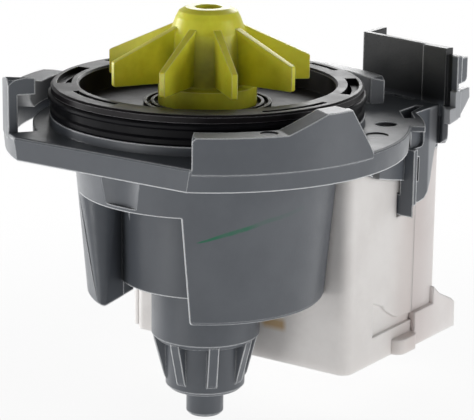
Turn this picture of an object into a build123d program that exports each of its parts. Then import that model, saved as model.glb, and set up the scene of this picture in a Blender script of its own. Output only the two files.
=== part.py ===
from build123d import *
import os
from math import cos, hypot, radians, sin, sqrt

# Dishwasher drain pump. Millimetres, +Z up along the pump axis, towards the impeller.
# Z = 0 is the top face of the mounting flange, and +Y points to the motor block.

# Fits and clearances
SEAT_GAP = 0.05
RUNNING_GAP = 0.03
ROTOR_GAP = 0.45
AXIAL_PLAY = 0.3
BODY_GAP = 0.4

# How far cutting shapes reach past what they cut, and a joined piece into its neighbour
CUT_PAST = 1.0
CUT_FAR = 20.0
SINK = 0.3

# Flange, its drafted rim and the collar round the cup's mouth
FLANGE_R = 39.15
RIM_DRAFT = 0.35
FLANGE_LOW_R = FLANGE_R - RIM_DRAFT
FLANGE_EDGE = 0.5
FLANGE_THICK = 2.2
RIM_WALL = 2.0
RIM_DEPTH = 4.4
RIM_END_Y = 20.0
CHORD_Y = -33.6
COLLAR_R = 30.3
COLLAR_H = 1.8
EAR_R = 41.9
EAR_THICK = 1.15
EAR_ANGLES = (30.3, 47.2)
EAR_HOLE_R = 2.15
EAR_HOLE_PITCH_R = 34.35
EAR_HOLE_ANGLE = 32.0
MARK_R = 2.15
MARK_PITCH_R = 33.8
MARK_ANGLE = 16.0
MARK_DEPTH = 0.25
RIB_ANGLES = (-105, -90, -75, 2, 14, 162, 178)
RIB_T = 1.2

# Bayonet claws round the rim: a wall, a lip turned inwards and a slot under the lip.
# Each claw lists (angle, height) points of its top and of its lip's underside.
CLAW_WALL_R = 37.3
CLAW_SLOT_R = 33.5
FRONT_CLAW_LIP_R = 34.6
FRONT_CLAW_TOP = ((-58.6, 4.9), (-57.4, 5.6), (-33.0, 5.6), (-21.5, 8.7), (-13.0, 8.7), (-4.0, 0.0))
FRONT_CLAW_UNDER = ((-55.8, 2.0), (-31.0, 2.0), (-18.0, 6.3), (-13.0, 6.3))
FRONT_CLAW_MARK = (36.35, -37.2, 1.6)
REAR_CLAW_LIP_R = 36.0
REAR_CLAW_TOP = ((60.8, 4.6), (62.4, 5.4), (94.0, 5.4), (98.0, 0.0))
REAR_CLAW_UNDER = ((64.0, 2.0), (94.0, 2.0))
TOWER_LIP_R = 33.9
TOWER_TOP = ((-178.5, 4.6), (-177.0, 5.4), (-160.0, 5.4), (-128.8, 10.35), (-127.2, 9.9), (-126.3, 8.85))
TOWER_UNDER = ((-176.0, 1.3), (-152.0, 1.3), (-133.0, 7.05), (-126.3, 7.05))
TOWER_NOTCH = (-173.0, -151.0, -3.1)

# Cup, skirts and the window between them
CUP_TOP_R = 26.2
SKIRT_BOTTOM_R = 23.2
SKIRT_WALL = 1.6
SKIRT_BOTTOM = -34.2
SKIRT_EDGE = 0.7
BAND_BOTTOM = -13.0
CUP_FLOOR = -7.6
CUP_BORE_R = 22.6
CUP_BACK_Y = 10.7
WEB_LEFT = ((-9.0, -21.6), (-11.5, -8.4))
WEB_RIGHT = ((10.8, -21.0), (13.3, -7.8))
WEB_REACH = 16.0
CORNER_TOP_R = 4.0
CORNER_BOTTOM_R = 0.9
CORNER_SINK = 0.03
CORNER_CUT = 3.0
POLE_SPACE_TIP = -12.6
POLE_SPACE_Y = -12.6
COVER_R = 16.9
COVER_WALL = 1.4
COVER_BOTTOM = -30.9
SCOOP_R = 14.0
SCOOP_PITCH_R = 38.3
SCOOP_ANGLE = -94.35
SCOOP_BOTTOM = -12.2

# Rotor well, ribbed nose and support pin
WELL_R = 10.7
WELL_WALL = 1.1
WELL_EDGE = 1.0
NOSE_STEP = -43.6
NOSE_CORE_TOP_R = 8.3
NOSE_BOTTOM_R = 7.85
NOSE_BOTTOM = -53.9
NOSE_EDGE = 0.7
NOSE_RIBS = 8
NOSE_RIB_W = 2.0
NOSE_RIB_R = 10.2
NOSE_RIB_END = -52.0
NOSE_RIB_ROOT = 2.0
PIN_R = 3.7
PIN_LENGTH = 5.7
PIN_EDGE = 0.5

# Motor seat frame under the flange, side brackets and latches
FRAME_X = 26.0
FRAME_WALL = 1.6
FRAME_FRONT_Y = 12.6
FRAME_BACK_Y = 44.5
ARM_GAP_TOP = 0.5
BRACKET_X = 28.6
BRACKET_FRONT_Y = 29.1
BRACKET_OUTLINE = (
    (29.1, 0.0), (41.0, 0.0), (41.0, -8.0), (39.0, -8.0), (38.5, -9.2), (37.2, -15.0), (36.3, -17.3), (35.0, -18.4),
    (32.8, -18.7), (29.1, -18.5),
)
TURN_PLAN = ((27.8, 40.1), (28.6, 40.1), (32.4, 36.9), (31.4, 38.5), (29.7, 41.0), (27.8, 41.7))
TURN_OUTLINE = ((-1.5, 0.0), (5.2, 0.0), (5.2, -4.9), (4.3, -6.1), (0.5, -7.9), (-1.5, -8.0))
BRACKET_POCKET = (34.0, -3.5, -7.3, 0.9, 0.8)
CHEVRON = ((25.2, 36.5), (25.3, 29.9), (29.2, 25.0), (30.9, 26.1), (27.6, 30.4), (26.5, 36.9))
CHEVRON_DEPTH = 7.0
SPINE_X = 29.46
SPINE_W = 1.2
SPINE_BOTTOM = -21.0
FOOT_TOP = -18.6
TOOTH_X = 24.6
TOOTH_TOP = -16.7
TOOTH_ROUND = ((0.0, -19.5), (0.3, -20.3), (1.0, -20.8), (2.4, -21.0))
SLIT_W = 0.9
SLIT_OFFSET = 2.45
SLIT_BOTTOM = -14.2
SLIT_TOP = -9.3

# Upright connector shield behind the flange
SHIELD_ANGLE = 78.0
SHIELD_R = 45.4
SHIELD_WALL = 1.3
SHIELD_RETURN_WALL = 1.1
SHIELD_LEFT = -2.0
SHIELD_RIGHT = 23.8
SHIELD_TOP = 11.6
SHIELD_STEP = 21.2
SHIELD_STEP_TOP = 10.3
SHIELD_PAD_LEFT = 15.0
SHIELD_PAD = 0.7
SHIELD_DEPTH = 7.4
SHIELD_GAP_BOTTOM = 3.2
SHIELD_TAB_BOTTOM = 4.7
SHIELD_TAB_TOP = 9.7
SHIELD_TAB_EDGE = 1.2
SHIELD_TAB_GAP = 0.3
SHIELD_TAB_DEPTH = 3.9
SHIELD_EDGE_T = 0.5
SHIELD_FLOOR_EDGE = 0.8
WING_OUTLINE = (
    (39.1, 3.2), (44.5, 3.3), (44.7, 1.3), (43.1, -0.2), (40.3, -2.5), (37.0, -3.0), (36.9, 0.0), (39.1, 0.0),
)
SHIELD_SLOTS = ((3.2, 6.4), (7.6, 12.6))
SHIELD_SLOT_DEPTHS = (0.1, 1.2)

# Bearing plate with the seal seat round it
PLATE_TOP = 7.6
PLATE_RIM_R = 30.0
PLATE_RIM_H = 1.5
PLATE_INNER_R = 24.6
PLATE_FLOOR = 3.1
PLATE_THICK = 2.0
PLATE_EDGE = 0.4
PLATE_HOLE_GAP = 1.2
PLATE_RIB_T = 1.2
PLATE_RIB_DEPTH = 3.0
PLATE_SEAT_R = 28.0
PLATE_SPIGOT_R = 22.3
PLATE_SPIGOT_WALL = 1.6
PLATE_SPIGOT_DEPTH = 6.0
RIDGE_RADII = (10.6, 12.0)
RIDGE_W = 0.6
RIDGE_H = 0.9
RING_SLOTS = (
    (-172.0, -139.0, 26.0, 28.8), (-123.0, -93.0, 26.0, 27.2), (-34.0, -4.0, 27.4, 28.6), (13.0, 44.0, 26.8, 29.0),
    (61.0, 78.0, 27.4, 28.6), (98.0, 128.0, 27.4, 28.6), (144.0, 172.0, 26.0, 28.8),
)
SLOT_DEEP_R = 27.6
SLOT_DEPTH = 3.2
SLOT_SHALLOW = 1.1
ORING_WIRE = 1.5
ORING_GROOVE_GAP = 0.15
ORING_SIDES = 10

# Seal beads
SEAL_WALL = 1.7
SEAL_LIP = 0.85
SEAL_FOOT = 0.45
SEAL_BASE_R = PLATE_SEAT_R + SEAT_GAP + SEAL_WALL
SEAL_LIP_R = SEAL_BASE_R + SEAL_LIP
SEAL_FOOT_R = SEAL_BASE_R + SEAL_FOOT

# Shaft and bearings
SHAFT_R = 1.5
SHAFT_TOP = 20.9
SHAFT_BOTTOM = -49.0
BEARING_R = 3.6
BEARING_L = 5.0
MOUNT_R = 5.4
MOUNT_LIP = 1.0
MOUNT_LIP_R = 2.8
WASHER_R = 3.4
WASHER_T = 0.6
FRONT_BEARING_TOP = 0.6
REAR_BEARING_TOP = -43.4
BOSS_WALL = 1.6

# Rotor
MAGNET_TOP = -14.5
MAGNET_BOTTOM = -32.5
MAGNET_EDGE = 0.6
MAGNET_BORE_R = 4.6
CARRIER_FLANGE_R = 7.0
CARRIER_FLANGE_T = 1.2
CARRIER_NECK = 0.2

# Impeller
HUB_TOP = 22.1
HUB_TOP_R = 5.8
HUB_TOP_FILLET = 1.8
HUB_WAIST_Z = 17.6
HUB_WAIST_R = 7.2
HUB_LOW_R = 7.8
HUB_BASE_R = 9.5
HUB_BASE_TOP = 7.3
HUB_BOTTOM = 3.5
BLADE_COUNT = 9
BLADE_TIP_R = 19.6
BLADE_BOTTOM = 8.1
BLADE_TIP_TOP = 12.8
BLADE_ROOT_TOP = 18.5
BLADE_T = 1.5
BLADE_TIP_T = 1.1
BLADE_CORNER = 0.4
HUB_RECESS_R = 2.6
HUB_RECESS_DEPTH = 2.2

# Lost-motion coupling inside the hub
CHAMBER_R = 5.6
CHAMBER_TOP = 15.5
CHAMBER_FLOOR = 5.4
DOG_R = 5.2
DOG_HUB_R = 2.9
DOG_TOP = 15.0
DOG_BOTTOM = 6.0
DOG_SPAN = 50.0
STOP_SPAN = 138.0
STOP_REST_GAP = 4.0
STOP_INNER_GAP = 0.35
CLIP_R = 2.25
CLIP_T = 0.4
CLIP_LIFT = 0.3

# Stator
STACK_TOP = -16.5
STACK_BOTTOM = -30.5
LEG_INNER_X = 9.4
LEG_OUTER_X = 18.4
POLE_BORE_R = 11.2
POLE_INNER_X = 5.8
POLE_FRONT_Y = -10.5
POLE_OUTER_R = 20.9
YOKE_FRONT_Y = 32.0
YOKE_BACK_Y = 41.0
BOBBIN_FRONT_Y = 14.2
BOBBIN_WALL = 1.0
BOBBIN_FLANGE = 1.2
WINDING_T = 3.3
WINDING_CORNER = 2.4

# Motor casing and its rear cover
CASE_X = 26.0
CASE_FRONT_Y = 11.1
CASE_SEAM_Y = 36.0
CASE_BACK_Y = 45.4
CASE_TOP = -10.0
CASE_BOTTOM = -50.1
CASE_WALL = 1.5
CASE_CORNER = 2.2
COVER_CORNER = 1.5
RECESS_DEPTH = 0.6
RECESS_OUTLINE = (
    (20.8, -37.4), (24.5, -38.9), (25.6, -40.0), (27.25, -41.1), (29.0, -42.1), (30.7, -42.7), (36.5, -43.1),
    (36.5, -44.6), (20.8, -44.6),
)
BUMP_X = 28.1
BUMP_Y0 = 28.4
BUMP_Y1 = 35.9
BUMP_TOP = -47.0
BUMP_CORNER = 1.9
LEDGE_X = 26.9
LEDGE_TOP = -43.0
SOCKET_LEFT_X = -2.0
SOCKET_OUTLINE = ((43.5, -39.3), (44.7, -40.25), (45.9, -41.3), (51.1, -43.7), (52.6, -44.9), (52.7, -50.1), (43.5, -50.1))
SOCKET_WALL = 1.2
SOCKET_FLOOR = 0.6
SOCKET_HOLLOW_TOP = -45.2
TERMINAL_W = 6.3
TERMINAL_T = 0.8
TERMINAL_L = 20.0
TERMINAL_PITCH = 11.9
TERMINAL_TIP = 1.2
TERMINAL_END_GAP = 1.0
TERMINAL_EYE_R = 0.9
TERMINAL_EYE = 3.6

# Half size of the blocks that cut whole sides away
FAR = 80.0


def polar(r, angle):
    """Point of the XY plane at a radius and an angle in degrees."""
    return (r * cos(radians(angle)), r * sin(radians(angle)))


def upright(sketch, z0, z1):
    """Prism of a flat sketch between two heights."""
    return Pos(0, 0, z0) * extrude(sketch, amount=z1 - z0)


def tube(r_out, r_in, z0, z1):
    """Round tube between two heights."""
    return upright(Circle(r_out) - Circle(r_in), z0, z1)


def disc(r, z0, z1):
    """Solid cylinder between two heights."""
    return upright(Circle(r), z0, z1)


def block(x0, x1, y0, y1, z0, z1):
    """Box between two corners."""
    return Pos((x0 + x1) / 2, (y0 + y1) / 2, (z0 + z1) / 2) * Box(x1 - x0, y1 - y0, z1 - z0)


def arc_sketch(r_in, r_out, a0, a1):
    """Flat sector of a ring between two angles."""
    mid = (a0 + a1) / 2
    outline = [
        Line(polar(r_in, a0), polar(r_out, a0)),
        ThreePointArc(polar(r_out, a0), polar(r_out, mid), polar(r_out, a1)),
        Line(polar(r_out, a1), polar(r_in, a1)),
        ThreePointArc(polar(r_in, a1), polar(r_in, mid), polar(r_in, a0)),
    ]
    return make_face(Curve() + outline)


def sector(r_in, r_out, a0, a1, z0, z1):
    """Ring sector between two heights."""
    return upright(arc_sketch(r_in, r_out, a0, a1), z0, z1)


def turned(points):
    """Solid of revolution of a closed (radius, height) outline."""
    corners = [(r, 0, z) for r, z in points]
    return revolve(make_face(Polyline(*corners, close=True)), Axis.Z)


def side_prism(points, angle, r0, r1):
    """Prism of a (sideways, height) outline that runs outwards at an angle."""
    a = radians(angle)
    plane = Plane(origin=(0, 0, 0), x_dir=(-sin(a), cos(a), 0), z_dir=(cos(a), sin(a), 0))
    sketch = make_face(Polyline(*points, close=True))
    return extrude(plane.offset(r0) * sketch, amount=r1 - r0)


def cross_prism(points, x0, x1):
    """Prism of a (Y, Z) outline between two X planes."""
    face = make_face(Polyline(*[(x0, y, z) for y, z in points], close=True))
    return extrude(face, amount=x1 - x0, dir=(1, 0, 0))


def ring_wall(points, r_in, r_out, foot):
    """Ring wall with radial ends whose top follows (angle, height) points."""
    first = points[0]
    last = points[-1]
    mid = (first[0] + last[0]) / 2
    half = abs(last[0] - first[0]) / 2
    top = [(r_out * sin(radians(angle - mid)), z) for angle, z in points]
    outline = [(-FAR, first[1])] + top + [(FAR, last[1]), (FAR, foot), (-FAR, foot)]
    prism = side_prism(outline, mid, r_in * cos(radians(half)) - 2, r_out + 2)
    return prism & sector(r_in, r_out, first[0], last[0], foot, max(z for _, z in points) + 1)


def skirt_radius(z):
    """Outer radius of the drafted cup and skirts at a height."""
    return CUP_TOP_R + (SKIRT_BOTTOM_R - CUP_TOP_R) * z / SKIRT_BOTTOM


def behind(y, z0, z1):
    """Everything behind a Y plane between two heights."""
    return block(-FAR, FAR, y, FAR, z0, z1)


def flange():
    """Flange plate with its drafted rim: straight at the front, open beside the motor seat."""
    edge = FLANGE_EDGE
    soft = 0.3 * edge
    body = turned([
        (0, 0), (FLANGE_R - edge, 0), (FLANGE_R - soft, -soft), (FLANGE_R, -edge), (FLANGE_LOW_R, -RIM_DEPTH),
        (0, -RIM_DEPTH),
    ])
    y = CHORD_Y
    body = body & cross_prism(
        [(y, -RIM_DEPTH), (y, -edge), (y + soft, -soft), (y + edge, 0), (FAR, 0), (FAR, -RIM_DEPTH)], -FAR, FAR)
    hollow = turned([
        (0, -FLANGE_THICK), (FLANGE_R - RIM_WALL, -FLANGE_THICK), (FLANGE_LOW_R - RIM_WALL, -RIM_DEPTH - 1),
        (0, -RIM_DEPTH - 1),
    ])
    body = body - (hollow & behind(CHORD_Y + RIM_WALL, -RIM_DEPTH - 1, -FLANGE_THICK))
    return body - behind(RIM_END_Y, -RIM_DEPTH - 1, -FLANGE_THICK)


def ears():
    """Two thin ears outside the circle, where the rim ends beside the brackets."""
    ear = sector(BRACKET_X, EAR_R, *EAR_ANGLES, -EAR_THICK, 0)
    return ear + mirror(ear, Plane.YZ)


def ear_relief():
    """Space below the thin ears."""
    low = -FLANGE_THICK - 1
    right = block(BRACKET_X, FAR, RIM_END_Y, FAR, low, -EAR_THICK)
    return right + mirror(right, Plane.YZ)


def claw(top, under, lip_r):
    """Bayonet claw: outer wall with a lip turned inwards, open at its last angle."""
    body = ring_wall(top, lip_r, FLANGE_R, -EAR_THICK)
    end = under[-1][0]
    pocket = ring_wall(under[:-1] + ((end + 1, under[-1][1]),), CLAW_SLOT_R - 1, CLAW_WALL_R, -FLANGE_THICK - 1)
    body = body - pocket
    if top[-1][0] > end:
        body = body - sector(CLAW_SLOT_R - 1, CLAW_WALL_R, end, top[-1][0] + 2, -FLANGE_THICK, TOWER_TOP[3][1])
    return body


def claw_slot(under):
    """Slot through the flange below a claw's lip."""
    return sector(CLAW_SLOT_R, CLAW_WALL_R, under[0][0], under[-1][0], -RIM_DEPTH - 1, 0.5)


def tower_notch():
    """Shallow stretch of the rim outside the tower's slot."""
    a0, a1, z = TOWER_NOTCH
    return sector(CLAW_WALL_R - 2, FLANGE_R + 1, a0, a1, -RIM_DEPTH - 1, z)


def cone(shrink, z0, z1):
    """Solid inside the cup's drafted outside, shrunk by a wall."""
    return turned([(0, z1), (skirt_radius(z1) - shrink, z1), (skirt_radius(z0) - shrink, z0), (0, z0)])


def skirt_edge():
    """Ring that eases the lower outer edge of the skirts."""
    low = SKIRT_BOTTOM
    high = low + SKIRT_EDGE
    soft = 0.3 * SKIRT_EDGE
    r = skirt_radius(low)
    return turned([
        (r - SKIRT_EDGE, low - 1), (r + 2, low - 1), (r + 2, high), (skirt_radius(high), high), (r - soft, low + soft),
        (r - SKIRT_EDGE, low),
    ])


def web_frame(web, side):
    """Distance of a web plane from the axis, its outward direction and its direction to the back."""
    (x0, y0), (x1, y1) = web
    length = hypot(x1 - x0, y1 - y0)
    back = ((x1 - x0) / length, (y1 - y0) / length)
    out = (side * back[1], -side * back[0])
    return out[0] * x0 + out[1] * y0, out, back


def web_point(web, side, outwards, along):
    """Plan point at a distance outside a web plane and a distance along it."""
    reach, out, back = web_frame(web, side)
    return (out[0] * (reach + outwards) + back[0] * along, out[1] * (reach + outwards) + back[1] * along)


def corner_profile(z, radius):
    """Outline beyond the rounded corner where the left web meets the drafted outside, at one height."""
    reach, out, _ = web_frame(WEB_LEFT, -1)
    centre_r = skirt_radius(z) - radius
    along = -sqrt(centre_r ** 2 - (reach + radius) ** 2)
    cx, cy = web_point(WEB_LEFT, -1, radius, along)
    ux, uy = cx / centre_r, cy / centre_r
    cx, cy = cx + CORNER_SINK * (ux - out[0]), cy + CORNER_SINK * (uy - out[1])
    size = hypot(ux - out[0], uy - out[1])
    start = (cx - radius * out[0], cy - radius * out[1])
    tip = (cx + radius * (ux - out[0]) / size, cy + radius * (uy - out[1]) / size)
    end = (cx + radius * ux, cy + radius * uy)
    corners = [
        end, (end[0] + CORNER_CUT * ux, end[1] + CORNER_CUT * uy),
        web_point(WEB_LEFT, -1, -CORNER_CUT, along - CUT_FAR), web_point(WEB_LEFT, -1, -CORNER_CUT, along), start,
    ]
    outline = Curve() + [ThreePointArc(start, tip, end), Polyline(*corners)]
    return Pos(0, 0, z) * make_face(outline)


def corner_cut():
    """Solid that rounds the left skirt's corner, wide at the top and narrow at the bottom."""
    low = SKIRT_BOTTOM - 1
    slope = (CORNER_TOP_R - CORNER_BOTTOM_R) / (BAND_BOTTOM - SKIRT_BOTTOM)
    return loft([corner_profile(BAND_BOTTOM, CORNER_TOP_R), corner_profile(low, CORNER_BOTTOM_R - slope)], ruled=True)


def cup():
    """Drafted cup whose sides hang down over the stator poles, with a curved wall in the window between them."""
    low = SKIRT_BOTTOM - 1
    top = BAND_BOTTOM
    window = make_face(Polyline(
        web_point(WEB_LEFT, -1, 0, -FAR / 2), web_point(WEB_RIGHT, 1, 0, -FAR / 2), web_point(WEB_RIGHT, 1, 0, -2),
        web_point(WEB_LEFT, -1, 0, -2), close=True))
    body = cone(0, SKIRT_BOTTOM, 0) - (upright(window, low, top) - disc(COVER_R, COVER_BOTTOM, top + 1)) - corner_cut()
    inside = cone(SKIRT_WALL, low, top)
    space = disc(COVER_R - COVER_WALL, low, top) + (inside & behind(POLE_SPACE_Y, low, top))
    for web, side, tip in ((WEB_LEFT, -1, POLE_SPACE_TIP), (WEB_RIGHT, 1, -FAR / 2)):
        plan = make_face(Polyline(
            web_point(web, side, SKIRT_WALL, tip), web_point(web, side, SKIRT_WALL, WEB_REACH),
            web_point(web, side, FAR, WEB_REACH), web_point(web, side, FAR, tip), close=True))
        space = space + (inside & upright(plan, low, top))
    body = body - skirt_edge() - space - behind(CUP_BACK_Y, low, CASE_TOP + SEAT_GAP)
    scoop = Pos(*polar(SCOOP_PITCH_R, SCOOP_ANGLE), 0) * disc(SCOOP_R, SCOOP_BOTTOM, -RIM_DEPTH)
    return body - scoop + disc(COLLAR_R, -FLANGE_THICK, COLLAR_H)


def nose():
    """Rotor well with the ribbed nose and the support pin below it."""
    well = turned([
        (0, CUP_FLOOR), (WELL_R, CUP_FLOOR), (WELL_R, NOSE_STEP + WELL_EDGE), (WELL_R - WELL_EDGE, NOSE_STEP), (0, NOSE_STEP),
    ])
    core = turned([
        (0, NOSE_STEP + 1), (NOSE_CORE_TOP_R, NOSE_STEP + 1), (NOSE_BOTTOM_R, NOSE_BOTTOM + NOSE_EDGE),
        (NOSE_BOTTOM_R - NOSE_EDGE, NOSE_BOTTOM), (0, NOSE_BOTTOM),
    ])
    root_r = NOSE_BOTTOM_R - NOSE_RIB_ROOT
    rib_points = [
        (root_r, 0, NOSE_STEP + 1), (WELL_R - 0.3, 0, NOSE_STEP + 0.6), (NOSE_RIB_R, 0, NOSE_STEP - 0.5),
        (NOSE_BOTTOM_R + 0.4, 0, NOSE_RIB_END + 0.6), (NOSE_BOTTOM_R - 0.2, 0, NOSE_RIB_END - 0.3),
        (root_r, 0, NOSE_RIB_END),
    ]
    rib = extrude(make_face(Polyline(*rib_points, close=True)), amount=NOSE_RIB_W / 2, dir=(0, 1, 0), both=True)
    for index in range(NOSE_RIBS):
        core = core + Rot(0, 0, 360 / NOSE_RIBS * index) * rib
    end = NOSE_BOTTOM - PIN_LENGTH
    pin = turned([
        (0, NOSE_BOTTOM + CUT_PAST), (PIN_R, NOSE_BOTTOM + CUT_PAST), (PIN_R, end + PIN_EDGE), (PIN_R - PIN_EDGE, end), (0, end),
    ])
    return well + core + pin


def well_bore():
    """Hollow of the rotor well and the rear bearing's seat."""
    bore = disc(WELL_R - WELL_WALL, REAR_BEARING_TOP + SEAT_GAP, CUP_FLOOR + 1)
    return bore + disc(MOUNT_R + SEAT_GAP, REAR_BEARING_TOP - BEARING_L - MOUNT_LIP - SEAT_GAP, NOSE_STEP + 1)


def frame():
    """Rectangular skirt under the flange that seats on the motor casing."""
    walls = block(-FRAME_X, FRAME_X, FRAME_FRONT_Y, FRAME_BACK_Y, CASE_TOP + SEAT_GAP, -FLANGE_THICK / 2)
    w = FRAME_WALL
    walls = walls - block(-FRAME_X + w, FRAME_X - w, FRAME_FRONT_Y + w, FRAME_BACK_Y - w, CASE_TOP - 1, 0)
    plate = block(-BRACKET_X, BRACKET_X, FRAME_FRONT_Y, FRAME_BACK_Y, -FLANGE_THICK, 0)
    return walls + plate


def bracket():
    """Side bracket of the motor seat: an outer panel that runs down into the snap arm with its spine and tooth."""
    gap_x = CASE_X + BODY_GAP
    arm_top = CASE_TOP + ARM_GAP_TOP
    panel = cross_prism(BRACKET_OUTLINE, FRAME_X - 0.5, BRACKET_X)
    panel = panel - block(0, gap_x, 0, FAR, -FAR, arm_top)
    y1, z_top, z_low, corner, depth = BRACKET_POCKET
    pocket = Pos(BRACKET_X - depth, 0, 0) * Plane.YZ.location
    sketch = Pos(y1 - CUT_FAR / 2, (z_top + z_low) / 2) * RectangleRounded(CUT_FAR, z_top - z_low, corner)
    panel = panel - extrude(pocket * sketch, amount=depth + 1)
    y0 = BRACKET_FRONT_Y
    spine = block(gap_x, SPINE_X, y0, y0 + SPINE_W, SPINE_BOTTOM, z_low)
    slope = make_face(Polyline((SPINE_X, y0), (BRACKET_X, y0 + SPINE_W), (SPINE_X + 1, y0 + SPINE_W), close=True))
    spine = spine - upright(slope, SPINE_BOTTOM - 1, FOOT_TOP)
    slit_y = y0 + SLIT_OFFSET
    slit = block(gap_x - 1, SPINE_X + 1, slit_y, slit_y + SLIT_W, SLIT_BOTTOM, SLIT_TOP)
    return panel + spine + tooth() - slit


def tooth():
    """Tooth of the snap arm, flat on top and rounded towards the foot."""
    x = CASE_X + BODY_GAP + 0.6
    y0 = BRACKET_FRONT_Y
    points = [(x, TOOTH_TOP), (TOOTH_X, TOOTH_TOP)] + [(TOOTH_X + step, z) for step, z in TOOTH_ROUND]
    face = make_face(Polyline(*[(px, y0, pz) for px, pz in points], close=True))
    return extrude(face, amount=SPINE_W, dir=(0, 1, 0))


def bracket_turn():
    """Slanted wall that runs outwards from the bracket's rear end to the shield's wing."""
    x0, y0 = TURN_PLAN[1]
    x1, y1 = TURN_PLAN[2]
    plane = Plane(origin=(x0, y0, 0), x_dir=(x1 - x0, y1 - y0, 0), z_dir=(y1 - y0, x0 - x1, 0))
    side = extrude(plane * make_face(Polyline(*TURN_OUTLINE, close=True)), amount=FLANGE_THICK * 2, both=True)
    return side & upright(make_face(Polyline(*TURN_PLAN, close=True)), -RIM_DEPTH * 2, 0)


def chevron():
    """Bent slot through the flange beside the bracket."""
    return upright(make_face(Polyline(*CHEVRON, close=True)), -CHEVRON_DEPTH, 1)


def shield_plane():
    """Plane of the upright shield: x runs along it and y is up."""
    a = radians(SHIELD_ANGLE)
    origin = (SHIELD_R * cos(a), SHIELD_R * sin(a), 0)
    return Plane(origin=origin, x_dir=(sin(a), -cos(a), 0), z_dir=(-cos(a), -sin(a), 0))


def shield_prism(points, back, front):
    """Prism of an (along, height) outline between two offsets towards the pump axis."""
    sketch = make_face(Polyline(*points, close=True))
    return extrude(shield_plane().offset(back) * sketch, amount=front - back)


def shield_point(along):
    """Point of the XY plane on the shield's face."""
    a = radians(SHIELD_ANGLE)
    return (SHIELD_R * cos(a) + along * sin(a), SHIELD_R * sin(a) - along * cos(a))


def shield():
    """Upright shield of the electric connector with its two returns."""
    foot = -FLANGE_THICK
    s0 = SHIELD_LEFT
    s1 = SHIELD_RIGHT
    face = [
        (s0, foot), (s1, foot), (s1, SHIELD_STEP_TOP), (SHIELD_STEP, SHIELD_STEP_TOP), (SHIELD_STEP, SHIELD_TOP),
        (s0, SHIELD_TOP),
    ]
    plate = shield_prism(face, -SHIELD_WALL, 0)
    pad = [(SHIELD_PAD_LEFT, foot), (SHIELD_STEP, foot), (SHIELD_STEP, SHIELD_TOP), (SHIELD_PAD_LEFT, SHIELD_TOP)]
    plate = plate + shield_prism(pad, -0.2, SHIELD_PAD)
    left_x, left_y = shield_point(s0)
    right_x, right_y = shield_point(s1)
    left_wall = block(left_x, left_x + SHIELD_RETURN_WALL, left_y, left_y + SHIELD_DEPTH, foot, SHIELD_TOP)
    right_wall = cross_prism(WING_OUTLINE, right_x - SHIELD_WALL, right_x)
    tab_back = right_y + SHIELD_TAB_DEPTH
    tab = block(right_x - SHIELD_WALL, right_x, right_y + SHIELD_TAB_GAP, tab_back, SHIELD_TAB_BOTTOM, SHIELD_TAB_TOP)
    corner = tab.edges().filter_by(Axis.X).group_by(Axis.Z)[0].sort_by(Axis.Y)[-1]
    tab = fillet(corner, SHIELD_TAB_EDGE)
    low = SHIELD_GAP_BOTTOM
    gap = [(s1 - 2, low), (s1 + 1, low), (s1 + 1, SHIELD_TAB_BOTTOM), (s1 - 2, SHIELD_TAB_BOTTOM)]
    turn_x, turn_y = TURN_PLAN[1]
    floor_face = make_face(Polyline(
        (turn_x - 1, turn_y), (turn_x, turn_y), TURN_PLAN[2], (right_x, right_y),
        (right_x, right_y + SHIELD_FLOOR_EDGE), (right_x - SHIELD_WALL, right_y + SHIELD_TAB_DEPTH),
        (left_x, left_y + SHIELD_DEPTH), (left_x, turn_y), close=True))
    floor = upright(floor_face, -FLANGE_THICK, 0)
    body = plate + left_wall + right_wall + tab + floor
    return body - shield_prism(gap, -SHIELD_WALL - 0.8, -SHIELD_EDGE_T)


def shield_slots():
    """Two mould slots through the flange at the foot of the shield."""
    slots = None
    for s0, s1 in SHIELD_SLOTS:
        face = [(s0, -RIM_DEPTH - 1), (s1, -RIM_DEPTH - 1), (s1, 0.2), (s0, 0.2)]
        slot = shield_prism(face, *SHIELD_SLOT_DEPTHS)
        slots = slot if slots is None else slots + slot
    return slots


def under_ribs():
    """Radial ribs under the flange between the cup and the rim."""
    ribs = None
    for angle in RIB_ANGLES:
        reach = min(FLANGE_LOW_R, CHORD_Y / min(sin(radians(angle)), -0.01)) - RIM_WALL / 2
        rib = block(skirt_radius(0) - 1.5, reach, -RIB_T / 2, RIB_T / 2, -RIM_DEPTH + SINK, -FLANGE_THICK + SINK)
        rib = Rot(0, 0, angle) * rib
        ribs = rib if ribs is None else ribs + rib
    return ribs


def pump_housing():
    """One grey moulding: flange, cup, skirts, rotor well, latches and shield."""
    body = flange() + ears() - ear_relief()
    body = body + frame() + cup() + under_ribs()
    side = bracket()
    body = body + side + mirror(side, Plane.YZ) + bracket_turn() + shield() - shield_slots() - chevron()
    claws = (
        (FRONT_CLAW_TOP, FRONT_CLAW_UNDER, FRONT_CLAW_LIP_R), (REAR_CLAW_TOP, REAR_CLAW_UNDER, REAR_CLAW_LIP_R),
        (TOWER_TOP, TOWER_UNDER, TOWER_LIP_R),
    )
    for top, under, lip_r in claws:
        body = body - claw_slot(under) + claw(top, under, lip_r)
    body = body - tower_notch() - block(-FAR, FAR, -FAR, CHORD_Y, -RIM_DEPTH - 1, FLANGE_R)
    body = body + nose()
    body = body - disc(CUP_BORE_R, CUP_FLOOR, COLLAR_H + 1) - well_bore()
    for angle in (EAR_HOLE_ANGLE, 180 - EAR_HOLE_ANGLE):
        body = body - Pos(*polar(EAR_HOLE_PITCH_R, angle), 0) * disc(EAR_HOLE_R, -RIM_DEPTH - 1, 1)
    mark_r, mark_angle, radius = FRONT_CLAW_MARK
    claw_top = FRONT_CLAW_TOP[1][1]
    claw_mark = Pos(*polar(mark_r, mark_angle), 0) * disc(radius, claw_top - MARK_DEPTH, claw_top + CUT_PAST)
    plate_mark = Pos(*polar(MARK_PITCH_R, MARK_ANGLE), 0) * disc(MARK_R, -MARK_DEPTH, 1)
    return body - claw_mark - plate_mark


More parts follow.
